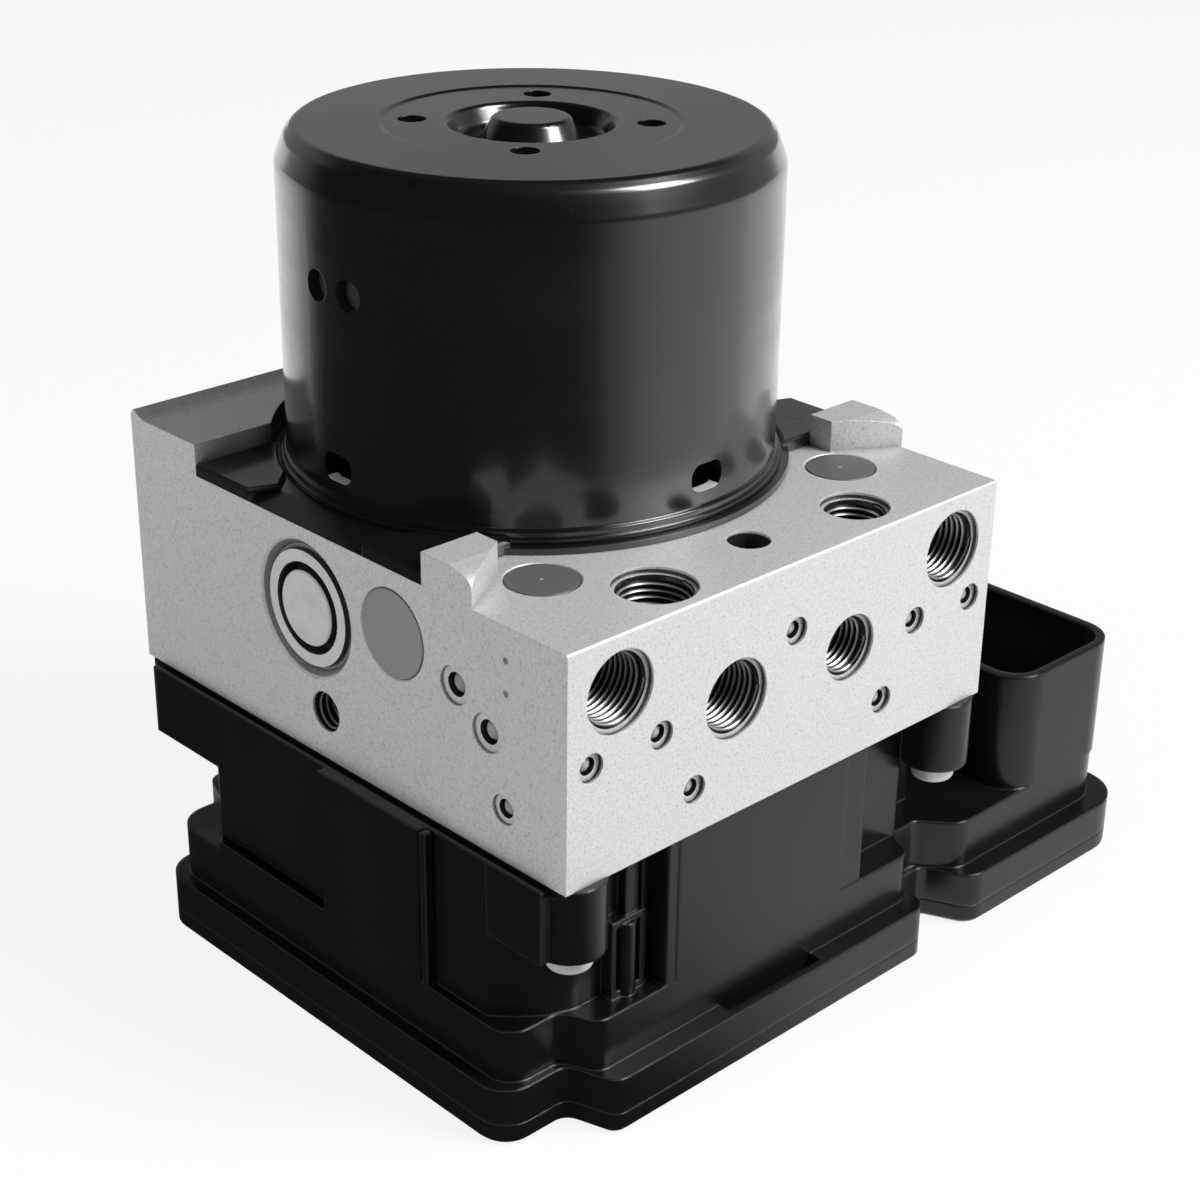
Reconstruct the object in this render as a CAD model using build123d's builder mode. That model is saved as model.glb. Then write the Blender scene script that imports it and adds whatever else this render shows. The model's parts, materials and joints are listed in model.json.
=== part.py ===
from build123d import *

import os
from math import cos, radians, sin

# Anti-lock brake hydraulic unit: aluminium valve block, pump motor on top, control unit below.
# Origin on the bottom cover under the motor shaft. +Z up the shaft, +X along the port face,
# +Y towards the back. Millimetres.

# Aluminium block, measured from the motor axis
block_length = 96.0
block_depth = 107.0
block_height = 39.0
ridge_height = 5.4
lip_height = 6.7
lip_width = 4.6
lip_flat = 0.8
port_face = -60.5
rear_face = port_face + block_depth
half_block = block_length / 2

# Control unit under the block
housing_depth = 47.0
cover_height = 3.8
rim_height = 6.4
step_height = 9.3
block_bottom = housing_depth
block_top = block_bottom + block_height
ridge_top = block_top + ridge_height
rim_top = cover_height + rim_height
step_top = rim_top + step_height

# Motor can
can_radius = 40.6
can_height = 56.1
can_wall = 2.0
plate_thickness = 1.1
plate_slope = 5.0
motor_top = block_top + can_height
boss_top_radius = 6.2
recess_radius = 13.4
recess_depth = 3.4
emboss_radius = 23.4
emboss_depth = 0.3

# Screws that hold the motor's flange plate
flange_screw_x = half_block - 5.4
flange_screw_radius = 1.6
flange_screw_head = 2.6
flange_screw_reach = 8.0
ear_height = 1.0
ear_length = 14.0
ear_width = 22.0

# Horns left standing at the front of the motor seat
horn_front = 20.2
horn_width = 10.8
horn_sweep = 6.6
seat_front = 31.5
seat_rear = block_depth - 18.3
pocket_radius = can_radius + 2.6
flange_screw_y = (port_face + seat_front + 7.2, port_face + seat_rear - 2.8)

# Brake line ports: thread radius, mouth, depth, and places from the block's middle
large_port = 6.0
small_port = 5.0
port_mouth = 0.65
port_mouth_depth = 1.0
edge_break = 0.3
port_depth = 12.0
seat_bore = 2.0
seat_depth = 2.5
outer_port_x = half_block - 10.4
outer_port_z = block_bottom + 29.8
inner_port_x = 13.0
inner_port_z = block_bottom + 20.1
top_port_x = 22.5
top_port_y = port_face + 8.6
top_port_depth = 10.5

# Tapped mounting holes
mount_radius = 3.45
mount_depth = 12.0
top_mount_y = port_face + 10.7
side_mount_y = port_face + 56.1
side_mount_z = block_bottom + 8.45

# Staked ball plugs: places, and the radius of the counterbore in which each ball is staked
ball_recess = 0.15
port_stake_depth = 0.9
side_stake_depth = 0.55
ball_share = 0.62
plug_run = 0.3
port_face_stake = 2.35
port_face_plugs = [
    (4.8 - half_block, 19.5),
    (half_block - 4.8, 19.5),
    (-29.0, 19.7),
    (29.0, 19.7),
    (-21.7, 7.8),
    (21.7, 7.8),
    (0.0, 27.2),
]
side_face_plugs = [
    (24.4, 25.2, 3.16),
    (17.2, 20.1, 3.2),
    (13.5, 8.8, 2.5),
]

# Channel caps pressed in flush
side_cap_radius = 7.35
side_cap_y = port_face + 38.8
side_cap_z = block_bottom + 28.4
top_cap_radius = 5.85
top_cap_x = half_block - 14.6
top_cap_y = port_face + 21.2
cap_depth = 3.0
cap_edge = 0.25

# Punch marks on the left face
punch_radius = 0.55
punch_marks = [(12.9, 33.5), (12.9, 28.2)]

# Pump, along X through the motor axis
pump_z = block_bottom + 25.0
pump_bore = 10.4
pump_ring = 11.76
pump_ring_depth = 1.0
plug_land = 9.7
plug_groove = (7.7, 6.3)
plug_groove_depth = 3.0
chamber_radius = 14.0
chamber_floor = block_bottom + 14.0
eccentric_offset = 1.2
eccentric_radius = 6.0
eccentric_height = 9.0
roller_radius = 9.0
running_gap = 0.03
sweep_radius = roller_radius + eccentric_offset
piston_radius = 5.0
piston_rest = sweep_radius + 0.15
piston_end = 24.0
sleeve_start = chamber_radius
sleeve_end = half_block - 12.0
pump_plug_inner = sleeve_end
shaft_radius = 4.0
spring_turns = 4
spring_socket = 4.0
pump_wire = 0.8

# Low-pressure accumulators, along Y in the rear face
accumulator_x = half_block / 2
accumulator_z = block_bottom + 20.0
accumulator_bore = 11.0
accumulator_depth = rear_face - pump_bore - 8.1
accumulator_piston_length = 8.0
accumulator_cap_length = 3.5
accumulator_cup = 5.0
accumulator_wire = 1.0

# Solenoid valves and coils
valve_columns = 4
valve_rows = (-41.5, -24.5, -7.5)
valve_pitch = (block_length - 36.0) / 3
valve_radius = 5.0
valve_depth = 12.0
dome_radius = 3.3
dome_bottom = step_top + 3.5
coil_radius = 7.8
coil_top = block_bottom - 3.0
bay_corner = 3.6
coil_bay_length = block_length - 18.0
coil_bay_front = -50.1
coil_bay_rear = 0.9
sensor_bay_length = 50.0
sensor_bay_front = -5.0
sensor_bay_rear = rear_face - 6.5
gasket_width = 1.0
gasket_depth = 1.4
sensor_y = rear_face - 27.0
sensor_radius = 7.0

# Motor terminals, through the block to the board
terminal_y = rear_face - 15.0
terminal_bore = 3.6

# Bolt bosses
boss_radius = 5.8
boss_height = 12.5
boss_x = half_block - 5.0
front_boss_y = port_face + 4.5
rear_boss_y = rear_face - 4.5
bolt_radius = 3.0
bolt_head_radius = 3.7
bolt_head_height = 3.4
bolt_head_edge = 0.9
wing_width = 10.2
bolt_reach = 14.0

# Control housing outline
body_right = half_block + 3.9
body_left = -body_right
body_front = port_face + 2.0
body_rear = rear_face - 2.0
body_side = half_block + 2.2
notch_front = port_face + 8.3
notch_rear = rear_face - 10.0
rim_right = half_block + 6.3
rim_left = -rim_right
rim_front = port_face - 1.8
rim_rear = rear_face + 1.8

# Front wall, panel and latch of the coil box
front_wall_left = -24.6
front_wall_right = 22.6
wall_relief = 0.15
recess_wall = port_face + 7.4
latch_x = 30.0
latch_width = 7.0
latch_front = port_face + 5.0
latch_height = 14.0
latch_post = 1.6
side_gap = 1.5
side_gap_depth = 1.2

# Connector shroud
shroud_left = half_block + 15.3
shroud_right = half_block + 45.6
shroud_wall = 1.7
shroud_rear = rear_face - 31.0
shroud_top = block_bottom - 4.6
pad_rim_right = half_block + 48.2
pad_rim_rear = shroud_rear + 2.8
shroud_floor = step_top

# Circuit board in the rim, under the coils and the connector
board_front = -49.2
board_rear = rear_face - 11.7
board_room_length = block_length + 2.0
pad_board_front = -50.0
pad_board_rear = shroud_rear - 3.0
pad_board_length = 51.0
pad_x = half_block + 17.5
board_gap = 0.3
capacitor_radius = 4.0
board_bottom = cover_height + 5.0
board_thickness = 1.6
board_room = step_top - 2.0
board_top = board_bottom + board_thickness
seal_height = 1.0
seal_inner = 0.3
seal_outer = 1.3

# Connector pins
pin_columns = (half_block + 25.5, half_block + 30.5, half_block + 35.5)
pin_count = 13
pin_pitch = 3.2
pin_y = -26.0
pin_size = 0.7
blade_width = 5.0
pin_top = shroud_floor + 9.0

# Motor internals
magnet_inner = can_radius - can_wall - 8.0
core_radius = magnet_inner - 0.8
slot_circle = core_radius - 8.8
winding_inner = 14.0
winding_outer = core_radius - 2.8
core_bottom = block_top + 16.0
core_top = core_bottom + 26.0
commutator_radius = 11.0
brush_start = commutator_radius + 0.1
brush_length = 14.0
tube_start = 14.0
tube_end = magnet_inner - 0.6
bearing_radius = 10.0
bearing_seat = 5.0
brush_z = block_top + 7.0


def finish(part, name):
    """Label a piece and write it to its own file."""
    part.label = name
    export_step(part, f"parts/{name}.step")


def step_outline():
    """Corners and radii of the housing wall below the bolt bosses, notched at each bolt."""
    notch = boss_x - 1.4
    shoulder = boss_x - 4.4
    corners = [
        (body_left, notch_front, 4.5),
        (-notch, notch_front, 2.8),
        (-shoulder, body_front, 3.0),
        (boss_x - 8.0, body_front, 3.0),
        (boss_x - 5.4, notch_front, 2.4),
        (boss_x + 1.4, notch_front, 2.4),
        (boss_x + 6.8, body_front, 4.0),
        (shroud_right, body_front, 8.0),
        (shroud_right, shroud_rear, 8.0),
        (body_right, shroud_rear, 4.0),
        (body_right, notch_rear, 6.0),
        (notch, notch_rear, 2.8),
        (shoulder, body_rear, 3.0),
        (-shoulder, body_rear, 3.0),
        (-notch, notch_rear, 2.8),
        (body_left, notch_rear, 6.0),
    ]
    return corners


def rim_outline():
    """The same corners for the rim and the cover, which stand out past the wall."""
    rim_notch_front = notch_front - 1.4
    rim_notch_rear = notch_rear + 1.4
    notch = boss_x - 1.7
    shoulder = boss_x - 4.6
    corners = [
        (rim_left, rim_notch_front, 5.5),
        (-notch, rim_notch_front, 2.4),
        (-shoulder, rim_front, 3.0),
        (boss_x - 6.8, rim_front, 3.6),
        (boss_x - 4.4, rim_notch_front, 2.2),
        (boss_x + 2.4, rim_notch_front, 2.2),
        (boss_x + 6.4, rim_front, 4.5),
        (pad_rim_right, rim_front, 9.0),
        (pad_rim_right, pad_rim_rear, 9.0),
        (rim_right, pad_rim_rear, 4.0),
        (rim_right, rim_notch_rear, 6.5),
        (notch, rim_notch_rear, 2.4),
        (shoulder, rim_rear, 3.0),
        (-shoulder, rim_rear, 3.0),
        (-notch, rim_notch_rear, 2.4),
        (rim_left, rim_notch_rear, 6.5),
    ]
    return corners


def rounded(corners):
    """Closed outline with rounded corners, drawn in the current line."""
    FilletPolyline(
        *[(x, y) for x, y, _ in corners],
        radius=[corner_radius for _, _, corner_radius in corners],
        close=True,
    )


def room(x, length, front, rear, growth, corner, mode=Mode.ADD):
    """Rounded rectangle between two Y positions, grown on every side, in the current sketch."""
    with Locations((x, (front + rear) / 2)):
        RectangleRounded(length + 2 * growth, rear - front + 2 * growth, corner + growth, mode=mode)


def bays(growth, mode=Mode.ADD):
    """Plan of the coil bay and the narrower sensor bay behind it, in the current sketch."""
    room(0, coil_bay_length, coil_bay_front, coil_bay_rear, growth, bay_corner, mode)
    room(0, sensor_bay_length, sensor_bay_front, sensor_bay_rear, growth, bay_corner, mode)


def board_plan(growth, mode=Mode.ADD):
    """Plan of the board's room and its part under the connector, in the current sketch."""
    room(0, board_room_length, board_front, board_rear, growth, 4.0, mode)
    room(pad_x, pad_board_length, pad_board_front, pad_board_rear, growth, 4.0, mode)


def pin_pattern():
    """Signal pins in three columns and the four supply blades, in the current sketch."""
    for column in pin_columns:
        with Locations((column, pin_y)):
            with GridLocations(1, pin_pitch, 1, pin_count):
                Rectangle(pin_size, pin_size)
    with Locations((pin_columns[1], 3.0)):
        with GridLocations(10.0, 6.5, 2, 2):
            Rectangle(blade_width, 0.8)


os.makedirs("parts", exist_ok=True)

# Hydraulic block

with BuildPart() as block:
    # Extruded section, seen from the left end
    with BuildSketch(Plane.YZ):
        with BuildLine():
            start = (port_face, block_bottom)
            Polyline(
                start,
                (port_face, block_top),
                (port_face + horn_front, block_top),
                (port_face + horn_front, block_top + 3.0),
            )
            Spline(
                (port_face + horn_front, block_top + 3.0),
                (port_face + horn_front + 0.8, block_top + 4.3),
                (port_face + horn_front + 2.6, block_top + 5.0),
                (port_face + horn_front + 5.0, ridge_top),
            )
            Line(
                (port_face + horn_front + 5.0, ridge_top),
                (rear_face - lip_width, ridge_top),
            )
            Spline(
                (rear_face - lip_width, ridge_top),
                (rear_face - lip_flat, block_top + lip_height),
                tangents=[(1, 0), (1, 0.6)],
            )
            Polyline(
                (rear_face - lip_flat, block_top + lip_height),
                (rear_face, block_top + lip_height - lip_flat),
                (rear_face, block_bottom),
                start,
            )
        make_face()
    extrude(amount=half_block, both=True)
    # Front milled down between the horns, whose front faces run obliquely
    with BuildSketch(Plane.XY.offset(block_top)):
        with BuildLine():
            inner_end = half_block - horn_width
            horn_corner = port_face + horn_front + horn_sweep
            Polyline(
                (-half_block, port_face),
                (half_block, port_face),
                (half_block, port_face + horn_front),
                (inner_end, horn_corner),
                (inner_end, port_face + seat_front),
                (-inner_end, port_face + seat_front),
                (-inner_end, horn_corner),
                (-half_block, port_face + horn_front),
                close=True,
            )
        make_face()
    extrude(amount=2 * lip_height, mode=Mode.SUBTRACT)
    # Motor seat across the full width, and the round clearance in the rear ridge
    with BuildSketch(Plane.XY.offset(block_top)):
        with Locations((0, port_face + (seat_front + seat_rear) / 2)):
            Rectangle(block_length, seat_rear - seat_front)
        Circle(pocket_radius)
    extrude(amount=2 * lip_height, mode=Mode.SUBTRACT)
    # Fine edge break along the port face
    port_edges = block.edges().filter_by(Axis.X).group_by(Axis.Y)[0].sort_by(Axis.Z)
    chamfer(port_edges[-1], length=edge_break)

    # Brake line ports in the port face and in the top
    for side in (-1, 1):
        with Locations(
            Plane((side * outer_port_x, port_face, outer_port_z), z_dir=(0, -1, 0))
        ):
            CounterBoreHole(large_port, large_port + port_mouth, port_mouth_depth, port_depth)
            Hole(seat_bore, port_depth + seat_depth)
    for x, thread in ((-inner_port_x, large_port), (inner_port_x, small_port)):
        with Locations(Plane((x, port_face, inner_port_z), z_dir=(0, -1, 0))):
            CounterBoreHole(thread, thread + port_mouth, port_mouth_depth, port_depth)
            Hole(seat_bore, port_depth + seat_depth)
    for x, thread in ((-top_port_x, large_port), (top_port_x, small_port)):
        with Locations((x, top_port_y, block_top)):
            CounterBoreHole(thread, thread + port_mouth, port_mouth_depth, top_port_depth)
            Hole(seat_bore, top_port_depth + seat_depth)

    # Tapped holes that hold the unit in its bracket
    with Locations((0, top_mount_y, block_top)):
        Hole(mount_radius, mount_depth)
    for side in (-1, 1):
        with Locations(
            Plane((side * half_block, side_mount_y, side_mount_z), z_dir=(side, 0, 0))
        ):
            Hole(mount_radius, mount_depth)

    # Ball plug bores, each counterbored where its ball is staked
    for x, height in port_face_plugs:
        ball = port_face_stake * ball_share
        bore_depth = port_stake_depth + ball_recess + 2 * ball + plug_run
        with Locations(Plane((x, port_face, block_bottom + height), z_dir=(0, -1, 0))):
            CounterBoreHole(ball, port_face_stake, port_stake_depth, bore_depth)
    for side in (-1, 1):
        for depth, height, stake in side_face_plugs:
            ball = stake * ball_share
            bore_depth = side_stake_depth + ball_recess + 2 * ball + plug_run
            middle = (side * half_block, port_face + depth, block_bottom + height)
            with Locations(Plane(middle, z_dir=(side, 0, 0))):
                CounterBoreHole(ball, stake, side_stake_depth, bore_depth)

    # Channel cap seats
    for side in (-1, 1):
        with Locations(Plane((side * half_block, side_cap_y, side_cap_z), z_dir=(side, 0, 0))):
            CounterSinkHole(side_cap_radius, side_cap_radius + cap_edge, cap_depth, 90)
        with Locations((side * top_cap_x, top_cap_y, block_top)):
            CounterSinkHole(top_cap_radius, top_cap_radius + cap_edge, cap_depth, 90)

    # Punch marks
    for depth, height in punch_marks:
        with Locations((-half_block, port_face + depth, block_bottom + height)):
            Sphere(punch_radius, mode=Mode.SUBTRACT)

    # Pump bores, opened to a cone for their end plugs, and the eccentric's chamber
    for side in (-1, 1):
        with Locations(Plane((side * half_block, 0, pump_z), z_dir=(side, 0, 0))):
            CounterSinkHole(pump_bore, pump_ring, half_block - chamber_radius + 1, 90)
    with Locations((0, 0, block_top)):
        Hole(chamber_radius, block_top - chamber_floor)

    # Accumulator bores in the rear face
    for side in (-1, 1):
        with Locations(Plane((side * accumulator_x, rear_face, accumulator_z), z_dir=(0, 1, 0))):
            Hole(accumulator_bore, accumulator_depth)

    # Tapped holes for the flange screws
    with Locations(*[(side * flange_screw_x, y, block_top) for side in (-1, 1) for y in flange_screw_y]):
        Hole(flange_screw_radius, flange_screw_reach)

    # Passage for the motor terminals
    with BuildSketch(Plane.XY.offset(block_bottom)):
        with Locations((0, terminal_y)):
            Circle(terminal_bore)
    extrude(amount=block_height, mode=Mode.SUBTRACT)

    # Valve, sensor and bolt bores in the underside
    with BuildSketch(Plane.XY.offset(block_bottom)):
        for row in valve_rows:
            with Locations((0, row)):
                with GridLocations(valve_pitch, 1, valve_columns, 1):
                    Circle(valve_radius)
        with Locations((0, sensor_y)):
            Circle(sensor_radius)
    extrude(amount=valve_depth, mode=Mode.SUBTRACT)
    with BuildSketch(Plane.XY.offset(block_bottom)):
        for side in (-1, 1):
            with Locations((side * boss_x, front_boss_y), (side * boss_x, rear_boss_y)):
                Circle(bolt_radius)
    extrude(amount=bolt_reach, mode=Mode.SUBTRACT)
finish(block.part, "hydraulic_block")

# Ball plugs: a ball pressed in below each counterbore

with BuildPart() as port_plugs:
    ball = port_face_stake * ball_share
    ball_y = port_face + port_stake_depth + ball_recess + ball
    for x, height in port_face_plugs:
        with Locations((x, ball_y, block_bottom + height)):
            Sphere(ball)
finish(port_plugs.part, "port_face_ball_plugs")

with BuildPart() as side_plugs:
    for side in (-1, 1):
        for depth, height, stake in side_face_plugs:
            ball = stake * ball_share
            ball_x = side * (half_block - side_stake_depth - ball_recess - ball)
            with Locations((ball_x, port_face + depth, block_bottom + height)):
                Sphere(ball)
finish(side_plugs.part, "side_face_ball_plugs")

# Channel caps

for side, name in ((-1, "side_channel_cap_left"), (1, "side_channel_cap_right")):
    with BuildPart() as side_cap:
        with BuildSketch(Plane((side * half_block, side_cap_y, side_cap_z), z_dir=(-side, 0, 0))):
            Circle(side_cap_radius)
        extrude(amount=cap_depth)
        chamfer(side_cap.edges().sort_by(Axis.X)[0 if side < 0 else -1], length=cap_edge)
    finish(side_cap.part, name)

with BuildPart() as top_caps:
    with BuildSketch(Plane.XY.offset(block_top - cap_depth)):
        with Locations((-top_cap_x, top_cap_y), (top_cap_x, top_cap_y)):
            Circle(top_cap_radius)
    extrude(amount=cap_depth)
    chamfer(top_caps.edges().group_by(Axis.Z)[-1], length=cap_edge)
finish(top_caps.part, "top_channel_caps")

# Pump: end plugs, sleeves, springs and pistons, the same on both sides

for side, name in ((-1, "left"), (1, "right")):
    outward = Plane((side * pump_plug_inner, 0, pump_z), z_dir=(side, 0, 0))
    plug_length = half_block - pump_plug_inner
    with BuildPart() as pump_plug:
        groove_outer, groove_inner = plug_groove
        with BuildSketch(outward):
            Circle(pump_bore)
        extrude(amount=plug_length - pump_ring_depth - 0.4)
        # Raised land, with a deep groove round its middle disc
        with BuildSketch(outward.offset(plug_length - pump_ring_depth - 0.4)):
            Circle(plug_land)
        extrude(amount=pump_ring_depth)
        with BuildSketch(outward.offset(plug_length - 0.4)):
            Circle(groove_outer)
            Circle(groove_inner, mode=Mode.SUBTRACT)
        extrude(amount=-plug_groove_depth, mode=Mode.SUBTRACT)
        with BuildSketch(outward.offset(plug_length - 0.4)):
            Circle(groove_inner)
        extrude(amount=0.3, taper=45)
        # Socket that guides the spring
        with BuildSketch(outward):
            Circle(4.6)
        extrude(amount=spring_socket, mode=Mode.SUBTRACT)
    finish(pump_plug.part, f"pump_plug_{name}")

    with BuildPart() as sleeve:
        with BuildSketch(Plane((side * sleeve_start, 0, pump_z), z_dir=(side, 0, 0))):
            Circle(pump_bore)
            Circle(piston_radius + running_gap, mode=Mode.SUBTRACT)
        extrude(amount=sleeve_end - sleeve_start)
        with BuildSketch(Plane((side * sleeve_start, 0, pump_z), z_dir=(side, 0, 0))):
            Circle(pump_bore)
            Circle(pump_bore - 1.6, mode=Mode.SUBTRACT)
        extrude(amount=6.0, mode=Mode.SUBTRACT)
    finish(sleeve.part, f"pump_sleeve_{name}")

    with BuildPart() as piston:
        with BuildSketch(Plane((side * piston_rest, 0, pump_z), z_dir=(side, 0, 0))):
            Circle(piston_radius)
        extrude(amount=piston_end - piston_rest)
        with BuildSketch(Plane((side * piston_end, 0, pump_z), z_dir=(side, 0, 0))):
            Circle(2.4)
        extrude(amount=2.0)
    finish(piston.part, f"pump_piston_{name}")

    spring_start = piston_end + pump_wire / 2 + 0.1
    spring_length = pump_plug_inner + spring_socket - spring_start - pump_wire / 2 - 0.1
    with BuildPart() as pump_spring:
        with BuildLine() as coil:
            Helix(
                pitch=spring_length / spring_turns,
                height=spring_length,
                radius=3.9,
                center=(side * spring_start, 0, pump_z),
                direction=(side, 0, 0),
            )
        with BuildSketch(Plane(origin=coil.line @ 0, z_dir=coil.line % 0)):
            Rectangle(pump_wire, pump_wire)
        sweep(is_frenet=True)
    finish(pump_spring.part, f"pump_spring_{name}")

# Low-pressure accumulators

for side, name in ((-1, "left"), (1, "right")):
    bore_end = Plane(
        (side * accumulator_x, rear_face - accumulator_depth, accumulator_z), z_dir=(0, 1, 0)
    )
    with BuildPart() as cup:
        with BuildSketch(bore_end.offset(0.3)):
            Circle(accumulator_bore - 0.05)
        extrude(amount=accumulator_piston_length)
        with BuildSketch(bore_end.offset(0.3 + accumulator_piston_length)):
            Circle(accumulator_bore - 2.2)
        extrude(amount=-accumulator_cup, mode=Mode.SUBTRACT)
    finish(cup.part, f"accumulator_piston_{name}")

    with BuildPart() as cap:
        with BuildSketch(bore_end.offset(accumulator_depth - accumulator_cap_length)):
            Circle(accumulator_bore)
        extrude(amount=accumulator_cap_length - 0.6)
        with BuildSketch(bore_end.offset(accumulator_depth - 0.6)):
            Circle(accumulator_bore - 2.5)
        extrude(amount=-1.2, mode=Mode.SUBTRACT)
    finish(cap.part, f"accumulator_cap_{name}")

    spring_start = 0.3 + accumulator_piston_length - accumulator_cup + accumulator_wire / 2 + 0.1
    spring_end = accumulator_depth - accumulator_cap_length - accumulator_wire / 2 - 0.1
    with BuildPart() as return_spring:
        with BuildLine() as coil:
            Helix(
                pitch=(spring_end - spring_start) / spring_turns,
                height=spring_end - spring_start,
                radius=7.4,
                center=bore_end.origin + Vector(0, spring_start, 0),
                direction=(0, 1, 0),
            )
        with BuildSketch(Plane(origin=coil.line @ 0, z_dir=coil.line % 0)):
            Rectangle(accumulator_wire, accumulator_wire)
        sweep(is_frenet=True)
    finish(return_spring.part, f"accumulator_spring_{name}")

# Motor can: drawn cup with a recessed top, a bearing boss and a rolled foot

with BuildPart() as can:
    foot = block_top + plate_thickness
    with BuildSketch(Plane.XZ):
        with BuildLine():
            outer = [
                (can_radius - can_wall, foot),
                (can_radius + 1.1, foot),
                (can_radius + 1.1, foot + 1.0),
                (can_radius + 0.6, foot + 1.0),
                (can_radius + 0.6, foot + 2.0),
                (can_radius, foot + 2.0),
                (can_radius, motor_top - 5.5),
                (can_radius - 1.6, motor_top - 1.4),
                (can_radius - 3.0, motor_top),
                (emboss_radius + 0.8, motor_top),
                (emboss_radius, motor_top - emboss_depth),
                (recess_radius, motor_top - emboss_depth),
                (recess_radius - 1.4, motor_top - recess_depth),
                (boss_top_radius + 2.2, motor_top - recess_depth),
                (boss_top_radius, motor_top + 0.6),
                (0, motor_top + 0.6),
            ]
            inner = [
                (0, motor_top - 1.2),
                (bearing_seat, motor_top - 1.2),
                (bearing_seat, motor_top - 7.0),
                (bearing_seat + 3.6, motor_top - 7.0),
                (bearing_seat + 3.6, motor_top - recess_depth - 1.8),
                (recess_radius, motor_top - recess_depth - 1.8),
                (recess_radius + 1.6, motor_top - 2.2),
                (can_radius - 4.0, motor_top - 2.2),
                (can_radius - can_wall, motor_top - 6.0),
            ]
            FilletPolyline(
                *outer,
                *inner,
                radius=[0, 0.3, 0.3, 0, 0.3, 0.3, 3.0, 2.0, 1.4, 0.6, 0.6, 1.0, 1.1, 1.2, 1.2, 0]
                + [0, 0, 0, 0, 0, 0, 0, 0, 1.0],
                close=True,
            )
        make_face()
    revolve(axis=Axis.Z)
    # Four round holes in the recessed top
    with BuildSketch(Plane.XY.offset(motor_top + 1)):
        with PolarLocations(18.9, 4, start_angle=45):
            Circle(2.3)
    extrude(amount=-5.0, mode=Mode.SUBTRACT)
    # Pairs of crimping holes high on the wall, and lanced windows near the foot
    for angle in (174.7, 185.3, -5.3, 5.3):
        outward = Vector(cos(radians(angle)), sin(radians(angle)), 0)
        with BuildSketch(Plane(outward * (can_radius + 2) + Vector(0, 0, block_top + 36.4), z_dir=outward)):
            Circle(2.5)
        extrude(amount=-6.0, mode=Mode.SUBTRACT)
    for angle in (0, 90, 180, 270):
        outward = Vector(cos(radians(angle)), sin(radians(angle)), 0)
        tangent = Vector(-sin(radians(angle)), cos(radians(angle)), 0)
        window = Plane(
            outward * (can_radius + 2) + Vector(0, 0, block_top + 7.8),
            x_dir=tangent,
            z_dir=outward,
        )
        with BuildSketch(window):
            RectangleRounded(6.6, 4.6, 1.9)
        extrude(amount=-6.0, mode=Mode.SUBTRACT)
finish(can.part, "motor_can")

# Motor flange plate: pressed steel with a raised ear at each corner

with BuildPart() as plate:
    seat_middle = port_face + (seat_front + seat_rear) / 2
    seat_span = seat_rear - seat_front
    with BuildSketch(Plane.XY.offset(block_top)):
        with Locations((0, seat_middle)):
            Rectangle(block_length, seat_span)
        Circle(pocket_radius - 0.2)
        Circle(bearing_radius + 1.5, mode=Mode.SUBTRACT)
        with Locations((0, terminal_y)):
            Circle(terminal_bore, mode=Mode.SUBTRACT)
    extrude(amount=plate_thickness)
    # Raised ears between the can and the corners
    with BuildSketch(Plane.XY.offset(block_top + plate_thickness)):
        for side in (-1, 1):
            for end in (-1, 1):
                corner_x = side * half_block
                corner_y = seat_middle + end * seat_span / 2
                with BuildLine():
                    Polyline(
                        (corner_x, corner_y),
                        (corner_x, corner_y - end * ear_length),
                        (corner_x - side * plate_slope, corner_y - end * (ear_length + 2.0)),
                        (corner_x - side * ear_width, corner_y),
                        close=True,
                    )
                make_face()
        Circle(can_radius + 1.5, mode=Mode.SUBTRACT)
    extrude(amount=ear_height)
    ear_top = block_top + plate_thickness + ear_height
    chamfer(plate.faces().sort_by(Axis.Z)[-4:].edges(), length=0.4)
    # Sloping side edges between the ears
    for side in (-1, 1):
        with BuildSketch(Plane.XZ.offset(-seat_middle)):
            with BuildLine():
                Polyline(
                    (side * half_block, block_top + plate_thickness),
                    (side * (half_block - plate_slope), block_top + plate_thickness),
                    (side * half_block, block_top + 0.2),
                    close=True,
                )
            make_face()
        extrude(amount=seat_span / 2 - ear_length, both=True, mode=Mode.SUBTRACT)
    for side in (-1, 1):
        with Locations(*[(side * flange_screw_x, y, ear_top) for y in flange_screw_y]):
            CounterSinkHole(flange_screw_radius, flange_screw_head, ear_top - block_top, 90)
finish(plate.part, "motor_flange_plate")

with BuildPart() as flange_screws:
    head_depth = flange_screw_head - flange_screw_radius
    for side in (-1, 1):
        for y in flange_screw_y:
            with Locations((side * flange_screw_x, y, ear_top - head_depth)):
                Cylinder(
                    flange_screw_radius,
                    ear_top - head_depth - block_top + flange_screw_reach,
                    align=(Align.CENTER, Align.CENTER, Align.MAX),
                )
                Cone(
                    flange_screw_radius,
                    flange_screw_head,
                    head_depth,
                    align=(Align.CENTER, Align.CENTER, Align.MIN),
                )
finish(flange_screws.part, "flange_screws")

# Motor internals

with BuildPart() as magnets:
    with BuildSketch(Plane.XY.offset(core_bottom - 2)):
        Circle(can_radius - can_wall)
        Circle(magnet_inner, mode=Mode.SUBTRACT)
        with PolarLocations(0, 4, start_angle=45):
            Rectangle(2 * can_radius, 12.0, align=(Align.MIN, Align.CENTER), mode=Mode.SUBTRACT)
    extrude(amount=core_top - core_bottom + 4)
finish(magnets.part, "motor_magnets")

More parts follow.
